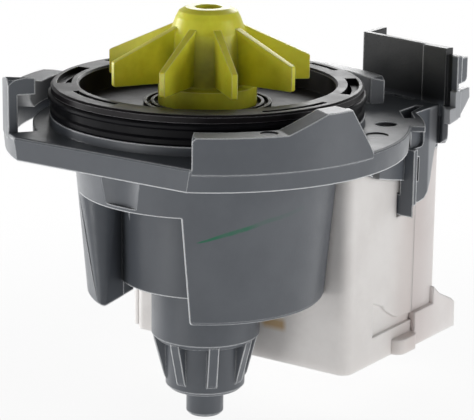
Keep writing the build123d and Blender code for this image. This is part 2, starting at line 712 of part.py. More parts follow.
def bearing_plate():
    """Black cover of the cup: cored rim, floor with labyrinth ridges, spigot and bearing boss."""
    seat_z = COLLAR_H + SEAT_GAP
    boss_r = MOUNT_R + BOSS_WALL
    boss_bottom = FRONT_BEARING_TOP - BEARING_L - MOUNT_LIP
    floor_low = PLATE_FLOOR - PLATE_THICK
    spigot_in = PLATE_SPIGOT_R - PLATE_SPIGOT_WALL
    hole_r = SHAFT_R + PLATE_HOLE_GAP
    edge = PLATE_EDGE
    body = turned([
        (hole_r, PLATE_FLOOR), (PLATE_INNER_R, PLATE_FLOOR), (PLATE_INNER_R, PLATE_TOP - edge),
        (PLATE_INNER_R + edge, PLATE_TOP), (PLATE_RIM_R - edge, PLATE_TOP), (PLATE_RIM_R, PLATE_TOP - edge),
        (PLATE_RIM_R, PLATE_TOP - PLATE_RIM_H), (PLATE_SEAT_R, PLATE_TOP - PLATE_RIM_H), (PLATE_SEAT_R, seat_z),
        (PLATE_SPIGOT_R, seat_z), (PLATE_SPIGOT_R, floor_low - PLATE_SPIGOT_DEPTH),
        (spigot_in, floor_low - PLATE_SPIGOT_DEPTH), (spigot_in, floor_low), (boss_r, floor_low), (boss_r, boss_bottom),
        (MOUNT_R + SEAT_GAP, boss_bottom), (MOUNT_R + SEAT_GAP, FRONT_BEARING_TOP + MOUNT_LIP),
        (hole_r, FRONT_BEARING_TOP + MOUNT_LIP),
    ])
    for radius in RIDGE_RADII:
        body = body + tube(radius + RIDGE_W / 2, radius - RIDGE_W / 2, PLATE_FLOOR - 0.2, PLATE_FLOOR + RIDGE_H)
    for angle in range(0, 360, 45):
        rib = block(
            boss_r - 0.5, spigot_in + 0.5, -PLATE_RIB_T / 2, PLATE_RIB_T / 2, floor_low - PLATE_RIB_DEPTH, floor_low + SINK)
        body = body + Rot(0, 0, angle) * rib
    z = oring_z()
    half = ORING_WIRE / 2 + ORING_GROOVE_GAP
    body = body - tube(PLATE_SPIGOT_R + 1, CUP_BORE_R - ORING_WIRE - SEAT_GAP, z - half, z + half)
    for a0, a1, r_in, r_out in RING_SLOTS:
        body = body - sector(r_in, min(r_out, SLOT_DEEP_R), a0, a1, PLATE_TOP - SLOT_DEPTH, PLATE_TOP + 1)
        if r_out > SLOT_DEEP_R:
            body = body - sector(max(r_in, SLOT_DEEP_R) - 0.1, r_out, a0, a1, PLATE_TOP - SLOT_SHALLOW, PLATE_TOP + 1)
    return body


def sump_seal():
    """Rubber seal round the plate, with a lip and a foot bead."""
    inner = PLATE_SEAT_R + SEAT_GAP
    low = COLLAR_H + SEAT_GAP
    top = PLATE_TOP - PLATE_RIM_H - SEAT_GAP
    outline = [
        (inner, low), (SEAL_FOOT_R - 0.3, low), (SEAL_FOOT_R, low + 0.3), (SEAL_FOOT_R, low + 1.1),
        (SEAL_BASE_R, low + 1.5), (SEAL_BASE_R, top - 1.4), (SEAL_LIP_R, top - 0.9), (SEAL_LIP_R, top - 0.4),
        (SEAL_LIP_R - 0.3, top - 0.1), (SEAL_BASE_R, top), (inner, top),
    ]
    return turned(outline)


def oring_z():
    """Height of the O-ring's centre."""
    return PLATE_FLOOR - PLATE_THICK - PLATE_SPIGOT_DEPTH / 2


def plate_oring():
    """O-ring between the plate's spigot and the cup."""
    middle = CUP_BORE_R - (ORING_WIRE + SEAT_GAP) / 2
    steps = [polar(ORING_WIRE / 2, 360 / ORING_SIDES * index) for index in range(ORING_SIDES)]
    return turned([(middle + x, oring_z() + y) for x, y in steps])


def bearing(top):
    """Plain bearing bush under a height."""
    return tube(BEARING_R, SHAFT_R + RUNNING_GAP, top - BEARING_L, top)


def bearing_mount(z_open, z_lip):
    """Rubber cup round a bearing bush: open at one height, with a lip over the bush's other end."""
    out = 1 if z_lip > z_open else -1
    seat = z_lip + out * SEAT_GAP
    end = z_lip + out * (MOUNT_LIP - SEAT_GAP)
    return turned([
        (BEARING_R + SEAT_GAP, z_open), (MOUNT_R, z_open), (MOUNT_R, end), (MOUNT_LIP_R, end), (MOUNT_LIP_R, seat),
        (BEARING_R + SEAT_GAP, seat),
    ])


def thrust_washer(z0):
    """Hard washer on the shaft."""
    return tube(WASHER_R, SHAFT_R + RUNNING_GAP, z0, z0 + WASHER_T)


def rotor_shaft():
    """Ground shaft with chamfered ends and a groove for the clip."""
    end = 0.4
    return turned([
        (0, SHAFT_BOTTOM), (SHAFT_R - end, SHAFT_BOTTOM), (SHAFT_R, SHAFT_BOTTOM + end), (SHAFT_R, SHAFT_TOP - end),
        (SHAFT_R - end, SHAFT_TOP), (0, SHAFT_TOP),
    ])


def rotor_magnet():
    """Two-pole ring magnet of the rotor."""
    ring = tube(WELL_R - WELL_WALL - ROTOR_GAP, MAGNET_BORE_R, MAGNET_BOTTOM, MAGNET_TOP)
    outer = ring.edges().filter_by(GeomType.CIRCLE).filter_by(lambda e: e.radius > MAGNET_BORE_R + 1)
    return chamfer(outer, MAGNET_EDGE)


def rotor_carrier():
    """Plastic carrier that joins the magnet to the shaft, with two end flanges."""
    core_r = MAGNET_BORE_R - SEAT_GAP
    top = MAGNET_TOP + SEAT_GAP
    low = MAGNET_BOTTOM - SEAT_GAP
    front_end = FRONT_BEARING_TOP - BEARING_L - WASHER_T - 2 * AXIAL_PLAY
    rear_end = REAR_BEARING_TOP + WASHER_T + 2 * AXIAL_PLAY
    neck_r = WASHER_R - CARRIER_NECK
    flange_low = low - CARRIER_FLANGE_T
    flange_top = top + CARRIER_FLANGE_T
    return turned([
        (SHAFT_R, rear_end), (neck_r, rear_end), (neck_r, flange_low), (CARRIER_FLANGE_R, flange_low),
        (CARRIER_FLANGE_R, low), (core_r, low), (core_r, top), (CARRIER_FLANGE_R, top), (CARRIER_FLANGE_R, flange_top),
        (neck_r, flange_top), (neck_r, front_end), (SHAFT_R, front_end),
    ])


def drive_dog():
    """Dog pressed on the shaft that pushes the impeller round."""
    hub = tube(DOG_HUB_R, SHAFT_R, DOG_BOTTOM, DOG_TOP)
    lug = sector(DOG_HUB_R - 0.2, DOG_R, -STOP_REST_GAP - DOG_SPAN, -STOP_REST_GAP, DOG_BOTTOM, DOG_TOP)
    return hub + lug


def retaining_clip():
    """Push-on clip that keeps the impeller on the shaft."""
    z = HUB_TOP - HUB_RECESS_DEPTH + CLIP_LIFT
    clip = tube(CLIP_R, SHAFT_R, z, z + CLIP_T)
    for index in range(4):
        notch = block(SHAFT_R - 0.5, SHAFT_R + 0.35, -0.25, 0.25, z - 1, z + 1)
        clip = clip - Rot(0, 0, 90 * index + 45) * notch
    return clip


def blade():
    """One impeller blade: tapered in plan, with a sloped top edge and a rounded tip."""
    root_r = HUB_WAIST_R - 2.0
    plan = make_face(Polyline(
        (root_r, -BLADE_T / 2), (BLADE_TIP_R, -BLADE_TIP_T / 2), (BLADE_TIP_R, BLADE_TIP_T / 2), (root_r, BLADE_T / 2),
        close=True))
    body = upright(plan, BLADE_BOTTOM, BLADE_ROOT_TOP + 2)
    rise = (BLADE_ROOT_TOP - BLADE_TIP_TOP) / (BLADE_TIP_R - HUB_WAIST_R)
    side = make_face(Polyline(
        (root_r, 0, BLADE_BOTTOM), (BLADE_TIP_R, 0, BLADE_BOTTOM), (BLADE_TIP_R, 0, BLADE_TIP_TOP),
        (root_r, 0, BLADE_TIP_TOP + rise * (BLADE_TIP_R - root_r)), close=True))
    profile = fillet(side.vertices().filter_by(lambda v: v.X > BLADE_TIP_R - 1), BLADE_CORNER)
    return body & extrude(profile, amount=BLADE_T, both=True)


def impeller():
    """Nine-bladed impeller with a domed hub and the coupling chamber inside it."""
    top_arc = HUB_TOP_FILLET
    body = turned([
        (0, HUB_BOTTOM), (HUB_BASE_R, HUB_BOTTOM), (HUB_BASE_R, HUB_BASE_TOP), (HUB_LOW_R, HUB_BASE_TOP + 0.3),
        (HUB_WAIST_R, HUB_WAIST_Z), (HUB_TOP_R + 0.4, HUB_TOP - top_arc), (HUB_TOP_R - 0.2, HUB_TOP - 0.7),
        (HUB_TOP_R - 1.4, HUB_TOP), (0, HUB_TOP),
    ])
    vane = blade()
    for index in range(BLADE_COUNT):
        body = body + Rot(0, 0, 360 / BLADE_COUNT * index) * vane
    body = body - disc(CHAMBER_R, HUB_BOTTOM - 1, CHAMBER_TOP)
    stop = sector(DOG_HUB_R + STOP_INNER_GAP, CHAMBER_R + 0.3, 0, STOP_SPAN, CHAMBER_FLOOR + SEAT_GAP, CHAMBER_TOP + 0.2)
    body = body + stop
    bore = disc(SHAFT_R + RUNNING_GAP, HUB_BOTTOM, HUB_TOP + 1)
    recess = disc(HUB_RECESS_R, HUB_TOP - HUB_RECESS_DEPTH, HUB_TOP + 1)
    return body - bore - recess


def coupling_cover():
    """Disc that closes the coupling chamber from below."""
    return tube(CHAMBER_R - SEAT_GAP, SHAFT_R + RUNNING_GAP, HUB_BOTTOM + 0.1, CHAMBER_FLOOR)


def stator_core():
    """U-shaped lamination stack with the pole bore round the rotor well."""
    half = None
    leg_length = YOKE_BACK_Y - CASE_FRONT_Y + 2
    shoe_length = CASE_FRONT_Y - POLE_FRONT_Y
    for side in (-1, 1):
        mid_x = side * (LEG_INNER_X + LEG_OUTER_X) / 2
        leg = Pos(mid_x, (CASE_FRONT_Y + YOKE_BACK_Y) / 2) * Rectangle(LEG_OUTER_X - LEG_INNER_X, leg_length)
        shoe_mid = side * (POLE_INNER_X + POLE_OUTER_R) / 2
        shoe = Pos(shoe_mid, (POLE_FRONT_Y + CASE_FRONT_Y) / 2) * Rectangle(POLE_OUTER_R - POLE_INNER_X, shoe_length)
        shoe = shoe & Circle(POLE_OUTER_R)
        shape = (leg - Pos(0, YOKE_BACK_Y + 5) * Rectangle(60, 10)) + shoe - Circle(POLE_BORE_R)
        half = shape if half is None else half + shape
    yoke = Pos(0, (YOKE_FRONT_Y + YOKE_BACK_Y) / 2) * Rectangle(2 * LEG_OUTER_X, YOKE_BACK_Y - YOKE_FRONT_Y)
    return upright(half + yoke, STACK_BOTTOM, STACK_TOP)


def coil_bobbin(side):
    """Bobbin on one core leg, with two end flanges."""
    x0 = LEG_INNER_X - SEAT_GAP
    x1 = LEG_OUTER_X + SEAT_GAP
    z0 = STACK_BOTTOM - SEAT_GAP
    z1 = STACK_TOP + SEAT_GAP
    y0 = BOBBIN_FRONT_Y
    y1 = YOKE_FRONT_Y - SEAT_GAP
    w = BOBBIN_WALL
    f = BOBBIN_WALL + WINDING_T + 0.2
    body = block(x0 - w, x1 + w, y0, y1, z0 - w, z1 + w)
    for a in (y0, y1 - BOBBIN_FLANGE):
        body = body + block(x0 - f, x1 + f, a, a + BOBBIN_FLANGE, z0 - f, z1 + f)
    body = body - block(x0, x1, y0 - 1, y1 + 1, z0, z1)
    return body if side > 0 else mirror(body, Plane.YZ)


def coil_winding(side):
    """Copper winding on a bobbin, rounded outside."""
    gap = BOBBIN_WALL + 2 * SEAT_GAP
    x0 = LEG_INNER_X - gap
    x1 = LEG_OUTER_X + gap
    z0 = STACK_BOTTOM - gap
    z1 = STACK_TOP + gap
    y0 = BOBBIN_FRONT_Y + BOBBIN_FLANGE + SEAT_GAP
    y1 = YOKE_FRONT_Y - BOBBIN_FLANGE - 2 * SEAT_GAP
    grow = 2 * (WINDING_T - 0.2)
    plane = Plane(origin=((x0 + x1) / 2, y0, (z0 + z1) / 2), x_dir=(-1, 0, 0), z_dir=(0, 1, 0))
    ring = RectangleRounded(x1 - x0 + grow, z1 - z0 + grow, WINDING_CORNER) - Rectangle(x1 - x0, z1 - z0)
    body = extrude(plane * ring, amount=y1 - y0)
    return body if side > 0 else mirror(body, Plane.YZ)


def rounded_box(x0, x1, y0, y1, z0, z1, r):
    """Box with rounded upright edges."""
    sketch = Pos((x0 + x1) / 2, (y0 + y1) / 2) * RectangleRounded(x1 - x0, y1 - y0, r)
    return upright(sketch, z0, z1)


def motor_casing():
    """White front casing over the coils, open at the back, with a scooped recess and a foot bump on the right."""
    w = CASE_WALL
    body = rounded_box(-CASE_X, CASE_X, CASE_FRONT_Y, CASE_SEAM_Y + 8, CASE_BOTTOM, CASE_TOP, CASE_CORNER)
    bump = rounded_box(CASE_X - 4, BUMP_X, BUMP_Y0, BUMP_Y1, CASE_BOTTOM, BUMP_TOP, BUMP_CORNER)
    body = (body - cross_prism(RECESS_OUTLINE, CASE_X - RECESS_DEPTH, CASE_X + 1)) + bump
    body = body & block(-FAR, FAR, CASE_FRONT_Y, CASE_SEAM_Y, CASE_BOTTOM, CASE_TOP)
    body = body - block(-CASE_X + w, CASE_X - w, CASE_FRONT_Y + w, CASE_SEAM_Y + 1, CASE_BOTTOM + w, CASE_TOP - w)
    for side in (-1, 1):
        x0, x1 = sorted((side * (LEG_INNER_X - SEAT_GAP), side * (LEG_OUTER_X + SEAT_GAP)))
        body = body - block(x0, x1, CASE_FRONT_Y - 1, CASE_FRONT_Y + w + 1, STACK_BOTTOM - SEAT_GAP, STACK_TOP + SEAT_GAP)
        n0, n1 = sorted((side * (TOOTH_X - BODY_GAP), side * (CASE_X + 1)))
        y0 = BRACKET_FRONT_Y
        body = body - block(n0, n1, y0 - BODY_GAP, y0 + SPINE_W + BODY_GAP, SPINE_BOTTOM - BODY_GAP, TOOTH_TOP + BODY_GAP)
    return body


def casing_cover():
    """White rear cover of the casing, with the connector socket low at its back and a ledge on its right side."""
    w = CASE_WALL
    y0 = CASE_SEAM_Y + SEAT_GAP
    body = rounded_box(-CASE_X, CASE_X, y0 - 6, CASE_BACK_Y, CASE_BOTTOM, CASE_TOP, COVER_CORNER)
    body = body + block(CASE_X - 1, LEDGE_X, y0 - 1, CASE_BACK_Y, CASE_BOTTOM, LEDGE_TOP)
    body = body + cross_prism(SOCKET_OUTLINE, SOCKET_LEFT_X, LEDGE_X)
    body = body & behind(y0, CASE_BOTTOM, CASE_TOP)
    body = body - block(-CASE_X + w, CASE_X - w, y0 - 1, CASE_BACK_Y - w, CASE_BOTTOM + w, CASE_TOP - w)
    hollow = block(SOCKET_LEFT_X + SOCKET_WALL, LEDGE_X - SOCKET_WALL, CASE_BACK_Y, SOCKET_OUTLINE[5][0] + 1,
                   CASE_BOTTOM + SOCKET_FLOOR, SOCKET_HOLLOW_TOP)
    body = body - hollow
    half_w = TERMINAL_W / 2 + SEAT_GAP
    half_t = TERMINAL_T / 2 + SEAT_GAP
    z = terminal_z()
    for index in range(2):
        cx = terminal_x(index)
        body = body - block(cx - half_w, cx + half_w, CASE_BACK_Y - w - 1, CASE_BACK_Y + 1, z - half_t, z + half_t)
    return body


def terminal_x(index):
    """Centre of a spade terminal along X."""
    return (SOCKET_LEFT_X + LEDGE_X) / 2 + (index - 0.5) * TERMINAL_PITCH


def terminal_z():
    """Centre height of the spade terminals."""
    return (CASE_BOTTOM + SOCKET_FLOOR + SOCKET_HOLLOW_TOP) / 2


def spade_terminal(index):
    """Spade terminal through the rear wall of the casing."""
    cx = terminal_x(index)
    z = terminal_z()
    half = TERMINAL_W / 2
    y1 = SOCKET_OUTLINE[5][0] - TERMINAL_END_GAP
    y0 = y1 - TERMINAL_L
    tip = TERMINAL_TIP
    plan = make_face(Polyline(
        (cx - half, y0), (cx + half, y0), (cx + half, y1 - tip), (cx + half - tip, y1), (cx - half + tip, y1),
        (cx - half, y1 - tip), close=True))
    body = upright(plan, z - TERMINAL_T / 2, z + TERMINAL_T / 2)
    return body - Pos(cx, y1 - TERMINAL_EYE, 0) * disc(TERMINAL_EYE_R, z - 1, z + 1)


def build():
    """All nodes by name."""
    front_top = FRONT_BEARING_TOP
    rear_top = REAR_BEARING_TOP
    nodes = {
        "pump_housing": pump_housing(),
        "bearing_plate": bearing_plate(),
        "sump_seal": sump_seal(),
        "plate_oring": plate_oring(),
        "front_bearing": bearing(front_top),
        "front_bearing_mount": bearing_mount(front_top - BEARING_L, front_top),
        "front_thrust_washer": thrust_washer(front_top - BEARING_L - AXIAL_PLAY - WASHER_T),
        "rear_bearing": bearing(rear_top),
        "rear_bearing_mount": bearing_mount(rear_top, rear_top - BEARING_L),
        "rear_thrust_washer": thrust_washer(rear_top + AXIAL_PLAY),
        "rotor_shaft": rotor_shaft(),
        "rotor_magnet": rotor_magnet(),
        "rotor_carrier": rotor_carrier(),
        "drive_dog": drive_dog(),
        "retaining_clip": retaining_clip(),
        "impeller": impeller(),
        "coupling_cover": coupling_cover(),
        "stator_core": stator_core(),
        "motor_casing": motor_casing(),
        "casing_cover": casing_cover(),
    }
    for index, name in enumerate(("left", "right")):
        side = 2 * index - 1
        nodes[f"coil_bobbin_{name}"] = coil_bobbin(side)
        nodes[f"coil_winding_{name}"] = coil_winding(side)
        nodes[f"spade_terminal_{name}"] = spade_terminal(index)
    return nodes


os.makedirs("parts", exist_ok=True)
for node, shape in build().items():
    export_step(shape, f"parts/{node}.step")
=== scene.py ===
"""Dishwasher drain pump: finishes, wound coils, stacked core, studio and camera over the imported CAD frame."""
import logging
import math
from dataclasses import dataclass, field
from enum import Enum
from functools import cache

import bpy
from mathutils import Matrix, Vector


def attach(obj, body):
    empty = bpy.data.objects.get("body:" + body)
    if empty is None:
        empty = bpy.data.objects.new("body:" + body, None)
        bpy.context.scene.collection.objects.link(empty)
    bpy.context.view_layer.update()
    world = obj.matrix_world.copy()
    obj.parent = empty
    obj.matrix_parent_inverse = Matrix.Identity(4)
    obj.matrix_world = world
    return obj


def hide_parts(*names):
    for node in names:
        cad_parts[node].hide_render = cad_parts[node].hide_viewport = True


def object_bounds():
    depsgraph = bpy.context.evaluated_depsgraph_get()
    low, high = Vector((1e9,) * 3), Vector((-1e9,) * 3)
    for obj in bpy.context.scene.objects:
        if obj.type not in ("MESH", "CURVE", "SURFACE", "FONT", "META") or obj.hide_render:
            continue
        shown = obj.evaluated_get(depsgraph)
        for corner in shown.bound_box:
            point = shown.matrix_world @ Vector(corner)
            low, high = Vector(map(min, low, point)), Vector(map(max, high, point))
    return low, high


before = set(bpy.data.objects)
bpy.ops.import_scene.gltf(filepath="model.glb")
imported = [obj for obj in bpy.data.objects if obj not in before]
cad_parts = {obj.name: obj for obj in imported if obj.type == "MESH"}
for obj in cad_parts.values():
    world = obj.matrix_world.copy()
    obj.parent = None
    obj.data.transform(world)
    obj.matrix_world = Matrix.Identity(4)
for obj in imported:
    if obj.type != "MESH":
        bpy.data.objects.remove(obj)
CAD_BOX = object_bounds()

LOG = logging.getLogger("drain_pump")
MM = 0.001
EDGE_SAMPLES = 6
FLOAT, INTEGER, VECTOR, MATERIAL, GEOMETRY = (
    f"NodeSocket{word}" for word in ("Float", "Int", "Vector", "Material", "Geometry")
)

Colour = tuple[float, float, float]
Point = tuple[float, float]
Circle = tuple[float, float, float]
Socket = bpy.types.NodeSocket
Inputs = dict[str | int, object]


def paint(red: float, green: float, blue: float) -> Colour:
    """Turn a colour as it is seen on a screen into the shader's linear one.

    Args:
        red: Red from 0 to 255.
        green: Green from 0 to 255.
        blue: Blue from 0 to 255.

    Returns:
        The three linear values from 0 to 1.
    """
    def linear(value: float) -> float:
        """One channel."""
        share = value / 255
        return share / 12.92 if share <= 0.04045 else ((share + 0.055) / 1.055) ** 2.4
    return (linear(red), linear(green), linear(blue))


def shown(name: str, data: bpy.types.ID) -> bpy.types.Object:
    """Put an object with this data into the scene.

    Args:
        name: Name of the object.
        data: Its mesh, lamp or camera.

    Returns:
        The object.
    """
    item = bpy.data.objects.new(name, data)
    bpy.context.scene.collection.objects.link(item)
    return item


class Body(Enum):
    """The CAD bodies that pieces ride on."""

    HOUSING = "housing"
    ROTOR = "rotor"
    IMPELLER = "impeller"


class Side(Enum):
    """Left and right of the motor."""

    LEFT = -1
    RIGHT = 1


class Run(Enum):
    """The way that a prism's outline is drawn out."""

    UPWARDS = "x and y, drawn out along z"
    ACROSS = "y and z, drawn out along x"


class Sheet:
    """Adds and joins the nodes of one node tree."""

    columns: int = 12
    column_width: int = 200
    row_height: int = 220

    def __init__(self, tree: bpy.types.NodeTree) -> None:
        """Keep the tree and start at its left end."""
        self.tree = tree
        self.count = 0

    @classmethod
    def cleared(cls, owner: bpy.types.ID) -> "Sheet":
        """Empty the nodes of a material or a world and return their sheet."""
        owner.use_nodes = True
        owner.node_tree.nodes.clear()
        return cls(owner.node_tree)

    def add(self, kind: str, **settings: object) -> bpy.types.Node:
        """Add a node.

        Args:
            kind: Blender's name of the node type.
            settings: Properties of the node.

        Returns:
            The new node.
        """
        node = self.tree.nodes.new(kind)
        row, column = divmod(self.count, self.columns)
        node.location = (self.column_width * column, -self.row_height * row)
        self.count += 1
        for key, value in settings.items():
            setattr(node, key, value)
        return node

    def put(self, socket: Socket, value: object) -> None:
        """Link a socket to another one, or set its own value."""
        if isinstance(value, bpy.types.NodeSocket):
            self.tree.links.new(value, socket)
        elif socket.type == "RGBA":
            socket.default_value = (*value, 1.0)
        else:
            socket.default_value = value

    def fill(self, node: bpy.types.Node, inputs: Inputs) -> bpy.types.Node:
        """Fill a node's inputs, named or counted, and return the node."""
        for key, value in inputs.items():
            self.put(node.inputs[key], value)
        return node

    def out(self, kind: str, inputs: Inputs, output: str | int = 0, **settings: object) -> Socket:
        """Add a node, fill its inputs and return one output.

        Args:
            kind: Blender's name of the node type.
            inputs: Values or sockets by the input's name or number.
            output: Name or number of the output.
            settings: Properties of the node.

        Returns:
            The output's socket.
        """
        return self.fill(self.add(kind, **settings), inputs).outputs[output]

    def math(
        self, operation: str, first: object, second: object = 0.0, third: object = 0.0, clamp: bool = False,
    ) -> Socket:
        """Add a Math node and return its output."""
        values = dict(enumerate((first, second, third)))
        return self.out("ShaderNodeMath", values, operation=operation, use_clamp=clamp)

    def times(self, first: object, *others: object) -> Socket:
        """Multiply values one after the other and return the product."""
        for other in others:
            first = self.math("MULTIPLY", first, other)
        return first

    def span(
        self,
        value: object,
        low: float,
        high: float,
        start: object = 0.0,
        end: object = 1.0,
        smooth: bool = False,
    ) -> Socket:
        """Map one range of a value to another, clamped.

        Args:
            value: Socket that is mapped.
            low: Value that becomes the start.
            high: Value that becomes the end.
            start: Result at the low value.
            end: Result at the high value.
            smooth: Whether the step eases in and out.

        Returns:
            The mapped value's socket.
        """
        values = dict(enumerate((value, low, high, start, end)))
        return self.out("ShaderNodeMapRange", values, interpolation_type="SMOOTHSTEP" if smooth else "LINEAR")

    def mix(self, share: object, first: object, second: object) -> Socket:
        """Mix two colours by a share and return the colour's socket."""
        return self.out("ShaderNodeMix", {0: share, 6: first, 7: second}, 2, data_type="RGBA")

    def noise(self, vector: object, scale: object, detail: float = 2.0, roughness: float = 0.5) -> Socket:
        """Add a noise texture and return its value."""
        inputs = {"Vector": vector, "Scale": scale, "Detail": detail, "Roughness": roughness}
        return self.out("ShaderNodeTexNoise", inputs)

    def place(self) -> Socket:
        """The place on the object, in the shared frame."""
        return self.add("ShaderNodeTexCoord").outputs["Object"]

    def stretched(self, vector: object, scale: tuple[float, float, float] = (1.0, 1.0, 0.0)) -> Socket:
        """Scale a vector, or flatten it along the pump axis."""
        return self.out("ShaderNodeMapping", {"Vector": vector, "Scale": scale})

    def measure(self, operation: str, first: object, second: object = (0.0, 0.0, 0.0)) -> Socket:
        """Value of a vector operation, such as LENGTH, DISTANCE or DOT_PRODUCT."""
        return self.out("ShaderNodeVectorMath", {0: first, 1: second}, "Value", operation=operation)

    def split(self, vector: object) -> list[Socket]:
        """The three parts of a vector."""
        return list(self.fill(self.add("ShaderNodeSeparateXYZ"), {0: vector}).outputs)

    def joined(self, *parts: object) -> Socket:
        """A vector from its three parts."""
        return self.out("ShaderNodeCombineXYZ", dict(enumerate(parts)))

    def bump(self, height: Socket, depth: float, normal: Socket) -> Socket:
        """Bend a normal by a height from 0 to 1 whose depth is in metres."""
        inputs = {"Strength": 1.0, "Distance": depth, "Height": height, "Normal": normal}
        return self.out("ShaderNodeBump", inputs)

    def shared(self, tree: bpy.types.NodeTree, inputs: Inputs) -> bpy.types.NodeOutputs:
        """Place a shared group with its own values and return its outputs."""
        return self.fill(self.add("ShaderNodeGroup", node_tree=tree), inputs).outputs


class Groups:
    """The node groups that several finishes share, each built once."""

    @staticmethod
    def start(
        name: str, inputs: dict[str, float], outputs: dict[str, str],
    ) -> tuple[Sheet, bpy.types.NodeOutputs, bpy.types.Node]:
        """Open a new shader group.

        Args:
            name: Name of the group.
            inputs: Names and starting values of its float inputs.
            outputs: Names and socket types of its outputs.

        Returns:
            The sheet, what the group is given and the group's output node.
        """
        tree = bpy.data.node_groups.new(name, "ShaderNodeTree")
        for label, value in inputs.items():
            socket = tree.interface.new_socket(label, in_out="INPUT", socket_type=FLOAT)
            socket.default_value = value
        for label, kind in outputs.items():
            tree.interface.new_socket(label, in_out="OUTPUT", socket_type=kind)
        sheet = Sheet(tree)
        return sheet, sheet.add("NodeGroupInput").outputs, sheet.add("NodeGroupOutput")

    @staticmethod
    @cache
    def moulded_grain() -> bpy.types.NodeTree:
        """Fine grain and soft mottling of a moulded surface."""
        sheet, given, result = Groups.start(
            "moulded_grain",
            {"Grain Scale": 2600.0, "Mottle Scale": 90.0},
            {"Height": FLOAT, "Mottle": FLOAT},
        )
        cloud_step = (0.36, 0.66)
        place = sheet.place()
        height = sheet.noise(place, given["Grain Scale"], 3.0, 0.6)
        cloud = sheet.noise(place, given["Mottle Scale"], 4.0, 0.62)
        sheet.fill(result, {"Height": height, "Mottle": sheet.span(cloud, *cloud_step, smooth=True)})
        return sheet.tree

    @staticmethod
    @cache
    def soft_edge() -> bpy.types.NodeTree:
        """Rounded normal of the edges, a mask for a painted highlight on the outer edges and one for painted
        shade in the inner corners.
        """
        sheet, given, result = Groups.start(
            "soft_edge",
            {"Radius": 0.3 * MM, "Gain": 11.0, "Reach": 1.6 * MM, "Depth": 4.0 * MM},
            {"Normal": VECTOR, "Edge": FLOAT, "Corner": FLOAT},
        )
        least_bend = 0.02
        open_step = (0.68, 0.88)
        corner_shade_step = (0.7, 0.2)
        normal = sheet.out("ShaderNodeBevel", {"Radius": given["Radius"]}, samples=EDGE_SAMPLES)
        turn = sheet.measure("DOT_PRODUCT", normal, sheet.add("ShaderNodeNewGeometry").outputs["Normal"])
        bent = sheet.math("SUBTRACT", sheet.math("SUBTRACT", 1.0, turn), least_bend)
        bent = sheet.math("MULTIPLY", bent, given["Gain"], clamp=True)
        near, deep_shade = (
            sheet.out(
                "ShaderNodeAmbientOcclusion",
                {"Distance": given[label]},
                "AO",
                samples=EDGE_SAMPLES,
                only_local=True,
            )
            for label in ("Reach", "Depth")
        )
        # The rounded normal bends the lit shading; the other two masks set a painted highlight on open outer
        # edges and painted shade in inner corners.
        sheet.fill(result, {
            "Normal": normal,
            "Edge": sheet.times(bent, sheet.span(near, *open_step)),
            "Corner": sheet.span(deep_shade, *corner_shade_step),
        })
        return sheet.tree

    @staticmethod
    @cache
    def ground_lines() -> bpy.types.NodeTree:
        """Fine lines left by grinding or drawing, across the pump axis or along it."""
        sheet, given, result = Groups.start(
            "ground_lines", {"Across": 400.0, "Along": 9000.0}, {"Height": FLOAT, "Shade": FLOAT},
        )
        shade_step = (0.3, 0.7)
        scale = sheet.joined(given["Across"], given["Across"], given["Along"])
        drawn = sheet.out("ShaderNodeVectorMath", {0: sheet.place(), 1: scale}, operation="MULTIPLY")
        lines = sheet.noise(drawn, 1.0, 3.0, 0.7)
        sheet.fill(result, {"Height": lines, "Shade": sheet.span(lines, *shade_step)})
        return sheet.tree


@dataclass(frozen=True)
class Finish:
    """What every finish has: a name, a colour and a roughness that follows a pattern."""

    name: str
    colour: Colour
    roughness: float
    rough_spread: float = 0.1
    rough_drop: float = 0.05
    grain_scale: float = 2600.0
    mottle_scale: float = 90.0
    edge_radius: float = 0.35 * MM

    def open(self) -> tuple[bpy.types.Material, Sheet, bpy.types.Node]:
        """Start the material.

        Returns:
            The material, its sheet and its Principled shader.
        """
        material = bpy.data.materials.new(self.name)
        sheet = Sheet.cleared(material)
        shader = sheet.add("ShaderNodeBsdfPrincipled")
        sheet.fill(sheet.add("ShaderNodeOutputMaterial"), {"Surface": shader.outputs[0]})
        sheet.fill(shader, {"Roughness": self.roughness, "Base Color": self.colour})
        return material, sheet, shader

    def rough(self, sheet: Sheet, pattern: Socket) -> Socket:
        """Roughness that follows a pattern from 0 to 1."""
        return sheet.math("MULTIPLY_ADD", pattern, self.rough_spread, self.roughness - self.rough_drop)

    def patterns(self, sheet: Sheet) -> tuple[bpy.types.NodeOutputs, bpy.types.NodeOutputs]:
        """Place the shared grain and soft edge with this finish's sizes.

        Args:
            sheet: Sheet of the material.

        Returns:
            The outputs of the grain and those of the edge.
        """
        scales = {"Grain Scale": self.grain_scale, "Mottle Scale": self.mottle_scale}
        grain = sheet.shared(Groups.moulded_grain(), scales)
        return grain, sheet.shared(Groups.soft_edge(), {"Radius": self.edge_radius})


